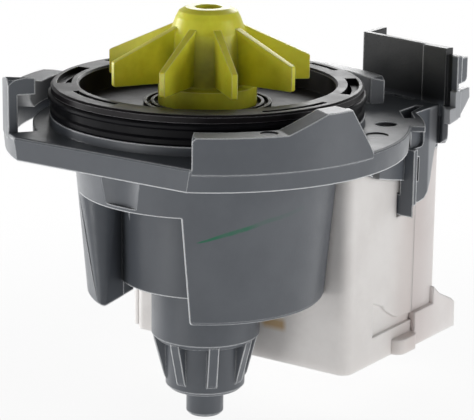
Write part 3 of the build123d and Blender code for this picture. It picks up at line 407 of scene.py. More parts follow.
@dataclass(frozen=True)
class Moulding(Finish):
    """Moulded plastic: grain, mottled colour, a painted highlight on its edges and painted shade in its inner
    corners.
    """

    shade: Colour = (0.0, 0.0, 0.0)
    # Colour and share of the painted highlight along the edges.
    edge: Colour = (1.0, 1.0, 1.0)
    edge_highlight_share: float = 0.5
    # Share and tone of the painted shade in the inner corners.
    corner_shade_share: float = 0.35
    corner_shade_tone: float = 0.16
    grain_depth: float = 0.02 * MM
    mottle_share: float = 0.5
    gloss: float = 0.5

    def surface(self) -> tuple[bpy.types.Material, Sheet, bpy.types.Node, Socket]:
        """Build the surface up to its colour.

        Returns:
            The material, its sheet, its shader and the colour's socket.
        """
        material, sheet, shader = self.open()
        grain, edge = self.patterns(sheet)
        colour = sheet.mix(sheet.times(grain["Mottle"], self.mottle_share), self.colour, self.shade)
        # Painted shade in the inner corners, then a painted highlight on the outer edges.
        corner = tuple(self.corner_shade_tone * part for part in self.shade)
        colour = sheet.mix(sheet.times(edge["Corner"], self.corner_shade_share), colour, corner)
        colour = sheet.mix(sheet.times(edge["Edge"], self.edge_highlight_share), colour, self.edge)
        sheet.fill(shader, {
            "Roughness": self.rough(sheet, grain["Mottle"]),
            "Specular IOR Level": self.gloss,
            "Normal": sheet.bump(grain["Height"], self.grain_depth, edge["Normal"]),
        })
        return material, sheet, shader, colour

    def build(self) -> bpy.types.Material:
        """Make the material."""
        material, sheet, shader, colour = self.surface()
        sheet.put(shader.inputs["Base Color"], colour)
        return material


@dataclass(frozen=True)
class InkedMoulding(Moulding):
    """Moulded plastic with one hand-drawn ink stroke round the drafted skirt.

    Angles are in degrees round the pump axis. Pairs are the ends of a soft step.
    """

    ink: Colour = (0.0, 0.1, 0.05)
    start_angle: float = -58.2
    bend_angle: float = -28.0
    end_angle: float = -8.0
    start_height: float = -17.5 * MM
    bend_rise: float = 3.5 * MM
    end_rise: float = 1.45 * MM
    half_width: float = 0.4 * MM
    thin_share: float = 0.35
    thin_span: float = 12.0
    wobble: float = 0.5 * MM
    wobble_scale: float = 160.0
    side_step: Point = (1.35, 0.65)
    dry_scale: float = 420.0
    dry_step: Point = (0.3, 0.55)
    dry_left: float = 0.6
    start_fade: Point = (-1.0, 1.0)
    end_fade: Point = (-1.5, 1.0)
    dense_step: Point = (-40.0, -30.0)
    dense_left: float = 0.3
    faint_step: Point = (-24.0, -13.0)
    faint_left: float = 0.35
    skirt_step: Point = (23.2 * MM, 23.8 * MM)
    # Colour of the painted shade on the shield, round the mould mark rims and inside the screw holes.
    painted_shade: Colour = (0.006, 0.0065, 0.007)
    # Zones of painted shade on the upright shield and of painted light on the wing beside it.
    shield_angle: float = 78.0
    shield_distance: float = 44.0 * MM
    shield_foot: Point = (0.2 * MM, 1.2 * MM)
    shield_shade_share: float = 0.9
    shield_soft: float = 0.5 * MM
    shield_end: float = 31.2 * MM
    shield_end_soft: float = 0.1 * MM
    wing_soft: float = 0.2 * MM
    wing_start: float = 28.4 * MM
    wing_top: float = 3.4 * MM
    wing_front: Point = (35.8 * MM, 36.6 * MM)
    wing_light: Colour = (0.4, 0.41, 0.43)
    wing_light_share: float = 0.8
    # Recessed mould marks with a painted shade line round their rims, and screw holes with painted shade
    # inside.
    marks: tuple[Circle, ...] = ((32.49 * MM, 9.32 * MM, 2.15 * MM), (28.95 * MM, -21.98 * MM, 1.6 * MM))
    mark_low: Point = (-0.8 * MM, -0.4 * MM)
    mark_line: Point = (0.2 * MM, 0.08 * MM)
    mark_shade_share: float = 0.8
    holes: tuple[Circle, ...] = ((29.13 * MM, 18.2 * MM, 2.15 * MM), (-29.13 * MM, 18.2 * MM, 2.15 * MM))
    hole_low: Point = (-0.12 * MM, -0.3 * MM)
    hole_rim: Point = (0.12 * MM, 0.03 * MM)
    hole_shade_share: float = 0.9

    def shield_shade_and_wing_light(self, sheet: Sheet, parts: list[Socket], colour: Socket) -> Socket:
        """Paint shade on the upright shield, which is turned away from the light, and paint light on the wing
        beside it.

        Args:
            sheet: Sheet of the material.
            parts: The place's three coordinates.
            colour: Colour of the moulding.

        Returns:
            The toned colour.
        """
        x, y, z = parts
        far, end, beside, top = self.shield_distance, self.shield_end, self.wing_start, self.wing_top
        angle = math.radians(self.shield_angle)
        distance = sheet.math("MULTIPLY_ADD", y, math.sin(angle), sheet.times(x, math.cos(angle)))
        # Painted shade on the shield and painted light on the wing beside it.
        shield_shade = sheet.times(
            sheet.span(distance, far, far + self.shield_soft),
            sheet.span(x, end + self.shield_end_soft, end),
        )
        wing = sheet.times(
            sheet.span(x, beside, beside + self.wing_soft),
            sheet.span(z, top, top - self.wing_soft),
            sheet.span(y, *self.wing_front),
            sheet.math("SUBTRACT", 1.0, shield_shade),
            self.wing_light_share,
        )
        shield_shade = sheet.times(shield_shade, sheet.span(z, *self.shield_foot), self.shield_shade_share)
        return sheet.mix(wing, sheet.mix(shield_shade, colour, self.painted_shade), self.wing_light)

    def painted_rim_and_hole_shade(self, sheet: Sheet, place: Socket, height: Socket, colour: Socket) -> Socket:
        """Paint a line of shade round the rim of each recessed mould mark, and shade inside the screw holes.

        Args:
            sheet: Sheet of the material.
            place: The place itself.
            height: The place's height.
            colour: Colour of the moulding.

        Returns:
            The marked colour.
        """
        flat = sheet.stretched(place)
        on_mark = sheet.span(height, *self.mark_low)
        hole_shade_depth = sheet.span(height, *self.hole_low)
        # Painted shade round each mark's rim, then inside each screw hole.
        for x, y, radius in self.marks:
            away = sheet.measure("DISTANCE", flat, (x, y, 0.0))
            near = sheet.math("ABSOLUTE", sheet.math("SUBTRACT", away, radius))
            line = sheet.times(sheet.span(near, *self.mark_line), on_mark, self.mark_shade_share)
            colour = sheet.mix(line, colour, self.painted_shade)
        for x, y, radius in self.holes:
            away = sheet.measure("DISTANCE", flat, (x, y, 0.0))
            within = sheet.span(away, *(radius + rim for rim in self.hole_rim))
            colour = sheet.mix(sheet.times(within, hole_shade_depth, self.hole_shade_share), colour, self.painted_shade)
        return colour

    def stroke(self, sheet: Sheet, place: Socket, parts: list[Socket]) -> Socket:
        """Share of ink: a bent line that starts thin and dense and runs faint and dry.

        Args:
            sheet: Sheet of the material.
            place: The place itself.
            parts: The place's three coordinates.

        Returns:
            The share's socket.
        """
        x, y, z = parts
        start, bend, end = self.start_angle, self.bend_angle, self.end_angle
        angle = sheet.math("DEGREES", sheet.math("ARCTAN2", y, x))
        first = sheet.span(angle, start, bend, 0.0, self.bend_rise)
        second = sheet.span(angle, bend, end, 0.0, self.end_rise)
        middle = sheet.math("ADD", sheet.math("ADD", first, second), self.start_height)
        drift = sheet.noise(place, self.wobble_scale, 2.0)
        shaky = sheet.math("MULTIPLY_ADD", drift, self.wobble, -self.wobble / 2)
        away = sheet.math("ABSOLUTE", sheet.math("SUBTRACT", sheet.math("SUBTRACT", z, middle), shaky))
        thin = self.thin_share * self.half_width
        width = sheet.span(angle, start, start + self.thin_span, thin, self.half_width)
        dry = sheet.noise(place, self.dry_scale, 3.0, 0.7)
        return sheet.times(
            sheet.span(sheet.math("DIVIDE", away, width), *self.side_step),
            sheet.span(angle, *self.dense_step, 1.0, self.dense_left, smooth=True),
            sheet.span(angle, *self.faint_step, 1.0, self.faint_left, smooth=True),
            sheet.span(dry, *self.dry_step, self.dry_left, 1.0),
            sheet.span(angle, *(start + turn for turn in self.start_fade)),
            sheet.span(angle, *(end + turn for turn in self.end_fade), 1.0, 0.0),
            sheet.span(sheet.measure("LENGTH", sheet.stretched(place)), *self.skirt_step),
        )

    def build(self) -> bpy.types.Material:
        """Make the material with the stroke over its colour."""
        material, sheet, shader, colour = self.surface()
        place = sheet.place()
        parts = sheet.split(place)
        colour = self.painted_rim_and_hole_shade(sheet, place, parts[2], self.shield_shade_and_wing_light(sheet, parts, colour))
        sheet.put(shader.inputs["Base Color"], sheet.mix(self.stroke(sheet, place, parts), colour, self.ink))
        return material


@dataclass(frozen=True)
class CasingMoulding(Moulding):
    """White casing plastic that turns warmer, with painted shade, towards its seam, where the wall is hollow
    behind.
    """

    seam_shade: Colour = (0.5, 0.4, 0.38)
    seam: float = 36.0 * MM
    spread: float = 12.0 * MM
    streak: tuple[float, float, float] = (1.0, 1.0, 0.35)
    cloud_scale: float = 70.0
    cloud_step: Point = (0.25, 0.75)
    cloud_share: Point = (0.35, 0.85)
    stain: Colour = (0.6, 0.45, 0.25)
    stain_box: tuple[float, float, float, float] = (5.5 * MM, 12.0 * MM, -43.9 * MM, -40.6 * MM)
    stain_front: Point = (11.6 * MM, 11.3 * MM)
    stain_soft: float = 1.2 * MM
    stain_share: float = 0.0
    scatter: float = 0.4
    scatter_depth: float = 3.0 * MM

    def build(self) -> bpy.types.Material:
        """Make the material with its painted shade towards the seam and its stain."""
        material, sheet, shader, colour = self.surface()
        place = sheet.place()
        x, y, z = sheet.split(place)
        # Painted shade towards the seam, broken up by streaky cloud.
        away = sheet.math("ABSOLUTE", sheet.math("SUBTRACT", y, self.seam))
        cloud = sheet.noise(sheet.stretched(place, self.streak), self.cloud_scale, 3.0)
        near = sheet.times(
            sheet.span(away, self.spread, 0.0, smooth=True),
            sheet.span(cloud, *self.cloud_step, *self.cloud_share),
        )
        colour = sheet.mix(near, colour, self.seam_shade)
        if self.stain_share > 0:
            left, right, low, high = self.stain_box
            soft = self.stain_soft
            spot = sheet.times(
                sheet.span(x, left, left + soft), sheet.span(x, right, right - soft),
                sheet.span(z, low, low + soft), sheet.span(z, high, high - soft),
                sheet.span(y, *self.stain_front), self.stain_share,
            )
            colour = sheet.mix(spot, colour, self.stain)
        sheet.fill(shader, {
            "Base Color": colour,
            "Subsurface Weight": self.scatter,
            "Subsurface Radius": (1.0, 1.0, 1.0),
            "Subsurface Scale": self.scatter_depth,
        })
        return material


@dataclass(frozen=True)
class NylonVanes(Moulding):
    """Lime nylon of the impeller: cloudy, a little translucent, with painted shade round the hub and low
    between the blades.
    """

    deep_shade: Colour = (0.1, 0.1, 0.01)
    hub_shade_step: Point = (11.4 * MM, 7.2 * MM)
    hub_shade_low: Point = (19.5 * MM, 12.0 * MM)
    cloud_scale: float = 130.0
    cloud_step: Point = (0.3, 0.7)
    cloud_share: Point = (0.35, 0.8)
    scatter: float = 0.15
    scatter_depth: float = 1.5 * MM

    def build(self) -> bpy.types.Material:
        """Make the material with painted shade round the hub."""
        material, sheet, shader, colour = self.surface()
        place = sheet.place()
        radius = sheet.measure("LENGTH", sheet.stretched(place))
        cloud = sheet.noise(place, self.cloud_scale, 3.0, 0.6)
        # Painted shade nearer the hub and lower down, broken up by cloud.
        share = sheet.times(
            sheet.span(radius, *self.hub_shade_step, smooth=True),
            sheet.span(sheet.split(place)[2], *self.hub_shade_low, smooth=True),
            sheet.span(cloud, *self.cloud_step, *self.cloud_share),
        )
        sheet.fill(shader, {
            "Base Color": sheet.mix(share, colour, self.deep_shade),
            "Subsurface Weight": self.scatter,
            "Subsurface Scale": self.scatter_depth,
        })
        return material


@dataclass(frozen=True)
class Rubber(Finish):
    """Moulded rubber: dusty in patches, with a painted sheen on its edges."""

    rough_spread: float = 0.16
    rough_drop: float = 0.06
    dust_and_sheen: Colour = (0.1, 0.1, 0.1)
    dust_share: float = 0.12
    edge_highlight_share: float = 0.3
    edge_radius: float = 0.25 * MM
    grain_scale: float = 3200.0
    grain_depth: float = 0.015 * MM
    mottle_scale: float = 150.0
    gloss: float = 0.12

    def build(self) -> bpy.types.Material:
        """Make the material."""
        material, sheet, shader = self.open()
        grain, edge = self.patterns(sheet)
        colour = sheet.mix(sheet.times(grain["Mottle"], self.dust_share), self.colour, self.dust_and_sheen)
        # The edges take a painted sheen in the same lighter colour as the dusty patches.
        sheet.fill(shader, {
            "Base Color": sheet.mix(sheet.times(edge["Edge"], self.edge_highlight_share), colour, self.dust_and_sheen),
            "Roughness": self.rough(sheet, grain["Mottle"]),
            "Specular IOR Level": self.gloss,
            "Normal": sheet.bump(grain["Height"], self.grain_depth, edge["Normal"]),
        })
        return material


@dataclass(frozen=True)
class GroundMetal(Finish):
    """Ground, stamped or drawn metal with fine lines and a painted highlight on its edges."""

    rough_spread: float = 0.14
    grain_scale: float = 1500.0
    mottle_scale: float = 180.0
    tint: Colour = (0.3, 0.3, 0.3)
    tint_share: float = 0.35
    metallic: float = 1.0
    across: float = 400.0
    along: float = 9000.0
    line_share: float = 0.25
    line_depth: float = 0.006 * MM
    edge_highlight_gain: float = 1.25
    edge_highlight_share: float = 0.5
    edge_radius: float = 0.12 * MM

    def build(self) -> bpy.types.Material:
        """Make the material."""
        material, sheet, shader = self.open()
        lines = sheet.shared(Groups.ground_lines(), {"Across": self.across, "Along": self.along})
        grain, edge = self.patterns(sheet)
        # Colour of the painted highlight on the edges.
        edge_highlight = tuple(min(1.0, self.edge_highlight_gain * part) for part in self.colour)
        colour = sheet.mix(sheet.times(grain["Mottle"], self.tint_share), self.colour, self.tint)
        colour = sheet.mix(sheet.times(lines["Shade"], self.line_share), colour, self.tint)
        sheet.fill(shader, {
            "Base Color": sheet.mix(sheet.times(edge["Edge"], self.edge_highlight_share), colour, edge_highlight),
            "Metallic": self.metallic,
            "Roughness": self.rough(sheet, lines["Shade"]),
            "Normal": sheet.bump(lines["Height"], self.line_depth, edge["Normal"]),
        })
        return material


class Finishes:
    """Every finish of the pump, made at its first use."""

    # In each finish the edge colour is a painted highlight; the mouldings also paint shade into their inner
    # corners, round the impeller's hub and towards the casing's seam.
    HOUSING = InkedMoulding(
        "grey_moulding", paint(89, 93, 99), 0.38, shade=paint(79, 83, 89), edge=paint(250, 252, 254),
        edge_highlight_share=1.0, edge_radius=0.5 * MM, corner_shade_share=0.52, ink=paint(10, 98, 70),
    )
    PLATE = Moulding(
        "black_moulding", paint(18, 15, 17), 0.44, shade=paint(34, 30, 33), edge=paint(206, 204, 208),
        edge_highlight_share=0.6, edge_radius=0.22 * MM, mottle_share=0.6, mottle_scale=160.0, gloss=0.2,
    )
    SEAL = Rubber("seal_rubber", paint(14, 14, 17), 0.45, dust_and_sheen=paint(58, 57, 62))
    ORING = Rubber("oring_rubber", paint(30, 29, 31), 0.5, dust_and_sheen=paint(70, 69, 71))
    MOUNT = Rubber("mount_rubber", paint(38, 38, 39), 0.6, dust_and_sheen=paint(80, 79, 78))
    BUSH = GroundMetal("carbon_bush", paint(58, 58, 62), 0.42, tint=paint(40, 40, 43), metallic=0.2)
    WASHER = Moulding(
        "hard_washer", paint(226, 222, 212), 0.3, shade=paint(206, 200, 188), edge=paint(245, 243, 238),
        edge_radius=0.1 * MM,
    )
    SHAFT = GroundMetal("ground_steel", paint(196, 197, 200), 0.22, tint=paint(150, 150, 152))
    CLIP = GroundMetal(
        "stamped_steel", paint(172, 173, 176), 0.34, tint=paint(120, 118, 116), across=1800.0, along=1800.0,
    )
    MAGNET = GroundMetal(
        "sintered_ferrite", paint(62, 62, 66), 0.62, tint=paint(44, 43, 45), metallic=0.1,
        across=2600.0, along=2600.0, line_depth=0.03 * MM,
    )
    CARRIER = Moulding(
        "carrier_moulding", paint(46, 46, 50), 0.45, shade=paint(34, 34, 37), edge=paint(120, 120, 124),
        edge_radius=0.2 * MM,
    )
    DOG = Moulding(
        "acetal_moulding", paint(228, 226, 216), 0.34, shade=paint(208, 204, 190), edge=paint(246, 245, 240),
        edge_radius=0.2 * MM,
    )
    IMPELLER = NylonVanes(
        "lime_nylon", paint(250, 247, 76), 0.34, shade=paint(224, 220, 50), edge=paint(250, 248, 186),
        edge_highlight_share=0.7, edge_radius=0.3 * MM, corner_shade_share=0.2, mottle_share=0.75, mottle_scale=110.0,
        deep_shade=paint(92, 89, 14),
    )
    COVER = Moulding(
        "lime_cover", paint(178, 182, 60), 0.42, shade=paint(150, 154, 44), edge=paint(214, 216, 118),
        edge_radius=0.2 * MM,
    )
    CASING = CasingMoulding(
        "casing_moulding", paint(236, 232, 229), 0.46, shade=paint(222, 217, 214), edge=paint(244, 242, 240),
        edge_highlight_share=0.5, edge_radius=0.6 * MM, corner_shade_share=0.04, seam_shade=paint(206, 194, 190),
        stain=paint(206, 172, 120), stain_share=0.85,
    )
    CASING_REAR = CasingMoulding(
        "rear_moulding", paint(236, 231, 229), 0.46, shade=paint(224, 218, 215), edge=paint(242, 240, 238),
        edge_highlight_share=0.5, edge_radius=0.6 * MM, corner_shade_share=0.04, seam_shade=paint(204, 192, 189),
    )
    BOBBIN = Moulding(
        "bobbin_moulding", paint(222, 216, 200), 0.4, shade=paint(204, 196, 176), edge=paint(240, 236, 226),
        edge_radius=0.25 * MM,
    )
    SHEETS = GroundMetal(
        "core_sheets", paint(150, 151, 155), 0.38, tint=paint(112, 110, 112), across=1200.0, along=1200.0,
    )
    WIRE = GroundMetal(
        "lacquered_copper", paint(196, 116, 66), 0.28, tint=paint(158, 82, 44), across=900.0, along=900.0,
        line_depth=0.002 * MM,
    )
    TERMINAL = GroundMetal(
        "tinned_brass", paint(206, 190, 150), 0.3, tint=paint(176, 154, 108), across=1600.0, along=500.0,
    )

    @staticmethod
    @cache
    def get(finish: Finish) -> bpy.types.Material:
        """Hand out a finish's material, made at its first use."""
        return finish.build()


def dress(nodes: dict[str, Finish]) -> list[bpy.types.Object]:
    """Give CAD nodes their finishes in every slot.

    Args:
        nodes: The finish of each CAD node by its name.

    Returns:
        The nodes' objects.
    """
    pieces = []
    for name, finish in nodes.items():
        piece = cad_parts[name]
        if not piece.material_slots:
            piece.data.materials.append(Finishes.get(finish))
        for place in piece.material_slots:
            place.material = Finishes.get(finish)
        LOG.info("dressed %s with %s", name, finish.name)
        pieces.append(piece)
    return pieces


class Tree:
    """A Geometry Nodes tree with named inputs that turns a start mesh into a plain mesh."""

    def __init__(self, name: str, inputs: dict[str, tuple[str, object]]) -> None:
        """Open the tree.

        Args:
            name: Name of the tree.
            inputs: Socket type and value of each named input.
        """
        self.group = bpy.data.node_groups.new(name, "GeometryNodeTree")
        self.values = {label: value for label, (_, value) in inputs.items()}
        self.group.interface.new_socket("Geometry", in_out="INPUT", socket_type=GEOMETRY)
        for label, (kind, _) in inputs.items():
            self.group.interface.new_socket(label, in_out="INPUT", socket_type=kind)
        self.group.interface.new_socket("Geometry", in_out="OUTPUT", socket_type=GEOMETRY)
        self.sheet = Sheet(self.group)
        self.given = self.sheet.add("NodeGroupInput")
        self.result = self.sheet.add("NodeGroupOutput")

    def value(self, label: str) -> Socket:
        """Socket of a named input."""
        return self.given.outputs[label]

    def close(self, geometry: Socket) -> None:
        """Finish the tree: realise the instances and set the material."""
        real = self.sheet.out("GeometryNodeRealizeInstances", {0: geometry})
        inputs = {"Geometry": real, "Material": self.value("Material")}
        self.sheet.put(self.result.inputs[0], self.sheet.out("GeometryNodeSetMaterial", inputs))

    def plain(self, start: bpy.types.Mesh, name: str) -> bpy.types.Object:
        """Run the tree over a start mesh and keep the result as a plain mesh.

        Args:
            start: Mesh that the tree begins with.
            name: Name of the finished piece.

        Returns:
            The finished object at the origin.
        """
        carrier = shown(name + "_start", start)
        modifier = carrier.modifiers.new(self.group.name, "NODES")
        modifier.node_group = self.group
        for item in self.group.interface.items_tree:
            if item.item_type == "SOCKET" and item.in_out == "INPUT" and item.name in self.values:
                modifier[item.identifier] = self.values[item.name]
        bpy.context.view_layer.update()
        evaluated = carrier.evaluated_get(bpy.context.evaluated_depsgraph_get())
        mesh = bpy.data.meshes.new_from_object(evaluated)
        carrier.modifiers.remove(modifier)
        bpy.data.objects.remove(carrier)
        mesh.name = name
        return shown(name, mesh)


@dataclass(frozen=True)
class Prism:
    """Small piece drawn out from an outline, in millimetres, that rides on a body."""

    name: str
    plan: tuple[Point, ...]
    low: float
    high: float
    run: Run = Run.UPWARDS

    def build(self, finish: Finish, slot: str, body: Body = Body.HOUSING) -> bpy.types.Object:
        """Make the piece.

        Args:
            finish: Its finish.
            slot: Not used.
            body: The body that it rides on.

        Returns:
            The finished object.
        """
        after = self.plan[1:] + self.plan[:1]
        turning = sum(x0 * y1 - x1 * y0 for (x0, y0), (x1, y1) in zip(self.plan, after))
        plan = self.plan if turning > 0 else self.plan[::-1]
        count = len(plan)
        points = [Vector((a, b, along)) * MM for along in (self.low, self.high) for a, b in plan]
        if self.run is Run.ACROSS:
            points = [Vector((point.z, point.x, point.y)) for point in points]
        faces = [tuple(reversed(range(count))), tuple(range(count, 2 * count))]
        for index in range(count):
            following = (index + 1) % count
            faces.append((index, following, count + following, count + index))
        mesh = bpy.data.meshes.new(self.name)
        mesh.from_pydata(points, [], faces)
        mesh.materials.append(Finishes.get(finish))
        piece = shown(self.name, mesh)
        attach(piece, body.value)
        LOG.info("built %s", self.name)
        return piece


@dataclass
class GreyHousing:
    """The grey moulding with its flange, claws, shield, skirts and nose."""

    web_end: Prism = Prism(
        "web_end", ((-10.72, -12.55), (-11.5, -8.4), (-13.07, -8.7), (-12.29, -12.85)), -34.15, -30.95,
    )
    gusset: tuple[Point, ...] = (
        (14.5, -2.3), (14.5, -9.4), (18.6, -11.3), (23.8, -12.55), (29.0, -13.7), (29.0, -2.3),
    )
    gusset_inner: float = 26.06
    gusset_outer: float = 27.3

    def build(self) -> list[bpy.types.Object]:
        """Dress the moulding, and add its web's end under the left pole and its gussets at the motor seat."""
        pieces = dress({"pump_housing": Finishes.HOUSING})
        pieces.append(self.web_end.build(Finishes.HOUSING, "housing"))
        for side in Side:
            low, high = sorted((side.value * self.gusset_inner, side.value * self.gusset_outer))
            plate = Prism(f"seat_gusset_{side.name.lower()}", self.gusset, low, high, Run.ACROSS)
            pieces.append(plate.build(Finishes.HOUSING, "housing"))
        return pieces


@dataclass
class SealedPlate:
    """Black bearing plate with its seal, O-ring, bushes and their rubber mounts."""

    ends: tuple[str, ...] = ("front", "rear")

    def build(self) -> list[bpy.types.Object]:
        """Dress the plate and what sits in it."""
        nodes = {"bearing_plate": Finishes.PLATE, "sump_seal": Finishes.SEAL, "plate_oring": Finishes.ORING}
        nodes |= {f"{end}_bearing": Finishes.BUSH for end in self.ends}
        nodes |= {f"{end}_bearing_mount": Finishes.MOUNT for end in self.ends}
        return dress(nodes)


@dataclass
class Rotor:
    """Shaft with the magnet, its carrier, the drive dog, the clip and the thrust washers."""

    ends: tuple[str, ...] = ("front", "rear")

    def build(self) -> list[bpy.types.Object]:
        """Dress the rotor."""
        nodes = {
            "rotor_shaft": Finishes.SHAFT, "rotor_magnet": Finishes.MAGNET, "rotor_carrier": Finishes.CARRIER,
            "drive_dog": Finishes.DOG, "retaining_clip": Finishes.CLIP,
        }
        nodes |= {f"{end}_thrust_washer": Finishes.WASHER for end in self.ends}
        return dress(nodes)


@dataclass
class Vanes:
    """The nine-bladed impeller and the cover of its coupling."""

    def build(self) -> list[bpy.types.Object]:
        """Dress the impeller."""
        return dress({"impeller": Finishes.IMPELLER, "coupling_cover": Finishes.COVER})


@dataclass
class SheetCore:
    """U-shaped core stacked from punched sheets, in millimetres."""

    leg_inner: float = 9.4
    leg_outer: float = 18.4
    bore: float = 11.2
    pole_inner: float = 5.8
    pole_front: float = -10.5
    pole_outer: float = 20.9
    case_front: float = 11.1
    leg_front: float = 10.1
    yoke_front: float = 32.0
    yoke_back: float = 41.0
    bottom: float = -30.5
    height: float = 14.0
    sheets: int = 28
    gap: float = 0.04
    weld: float = 0.005
    arc_steps: int = 16

    def arc(self, radius: float, start: float, end: float) -> list[Point]:
        """Points along an arc round the pump axis, angles in radians."""
        step = (end - start) / self.arc_steps
        return [
            (radius * math.cos(start + step * index), radius * math.sin(start + step * index))
            for index in range(self.arc_steps + 1)
        ]

    def half(self) -> list[Point]:
        """Right half of the sheet's outline, from the yoke's back down and round to its front.

        Returns:
            Points in millimetres, clockwise.
        """
        low = math.asin(self.pole_front / self.pole_outer)
        high = math.asin(self.leg_front / self.pole_outer)
        mouth = math.acos(self.pole_inner / self.bore)
        outline = [(self.leg_outer, self.yoke_back), (self.leg_outer, self.leg_front)]
        outline += self.arc(self.pole_outer, high, low)
        outline += [(self.pole_inner, self.pole_front)]
        outline += self.arc(self.bore, -mouth, mouth)
        outline += [(self.pole_inner, self.case_front), (self.leg_inner, self.case_front)]
        outline += [(self.leg_inner, self.yoke_front)]
        return outline

    def blank(self) -> bpy.types.Mesh:
        """One flat sheet at the bottom of the stack."""
        right = self.half()
        left = [(-x, y) for x, y in reversed(right)]
        points = [(x * MM, y * MM, self.bottom * MM) for x, y in reversed(right + left)]
        mesh = bpy.data.meshes.new("core_blank")
        mesh.from_pydata(points, [], [tuple(range(len(points)))])
        mesh.update()
        return mesh

    def build(self) -> bpy.types.Object:
        """Stack the sheets and put them in the solid core's place."""
        pitch = self.height * MM / self.sheets
        tree = Tree("stacked_sheets", {
            "Sheets": (INTEGER, self.sheets),
            "Pitch": (FLOAT, pitch),
            "Thickness": (FLOAT, pitch - self.gap * MM),
            "Material": (MATERIAL, Finishes.get(Finishes.SHEETS)),
        })
        sheet = tree.sheet
        flat = tree.value("Geometry")
        inputs = {"Mesh": flat, "Offset Scale": tree.value("Thickness"), "Individual": False}
        lifted = sheet.out("GeometryNodeExtrudeMesh", inputs, "Mesh", mode="FACES")
        under = sheet.out("GeometryNodeFlipFaces", {0: flat})
        whole = sheet.add("GeometryNodeJoinGeometry")
        for part in (lifted, under):
            sheet.put(whole.inputs[0], part)
        inputs = {"Geometry": whole.outputs[0], "Distance": self.weld * MM}
        tight = sheet.out("GeometryNodeMergeByDistance", inputs)
        inputs = {"Count": tree.value("Sheets"), "Offset": sheet.joined(0.0, 0.0, tree.value("Pitch"))}
        line = sheet.out("GeometryNodeMeshLine", inputs, mode="OFFSET")
        tree.close(sheet.out("GeometryNodeInstanceOnPoints", {"Points": line, "Instance": tight}))
        piece = tree.plain(self.blank(), "core_stack")
        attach(piece, Body.HOUSING.value)
        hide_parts("stator_core")
        LOG.info("built core_stack with %d faces", len(piece.data.polygons))
        return piece


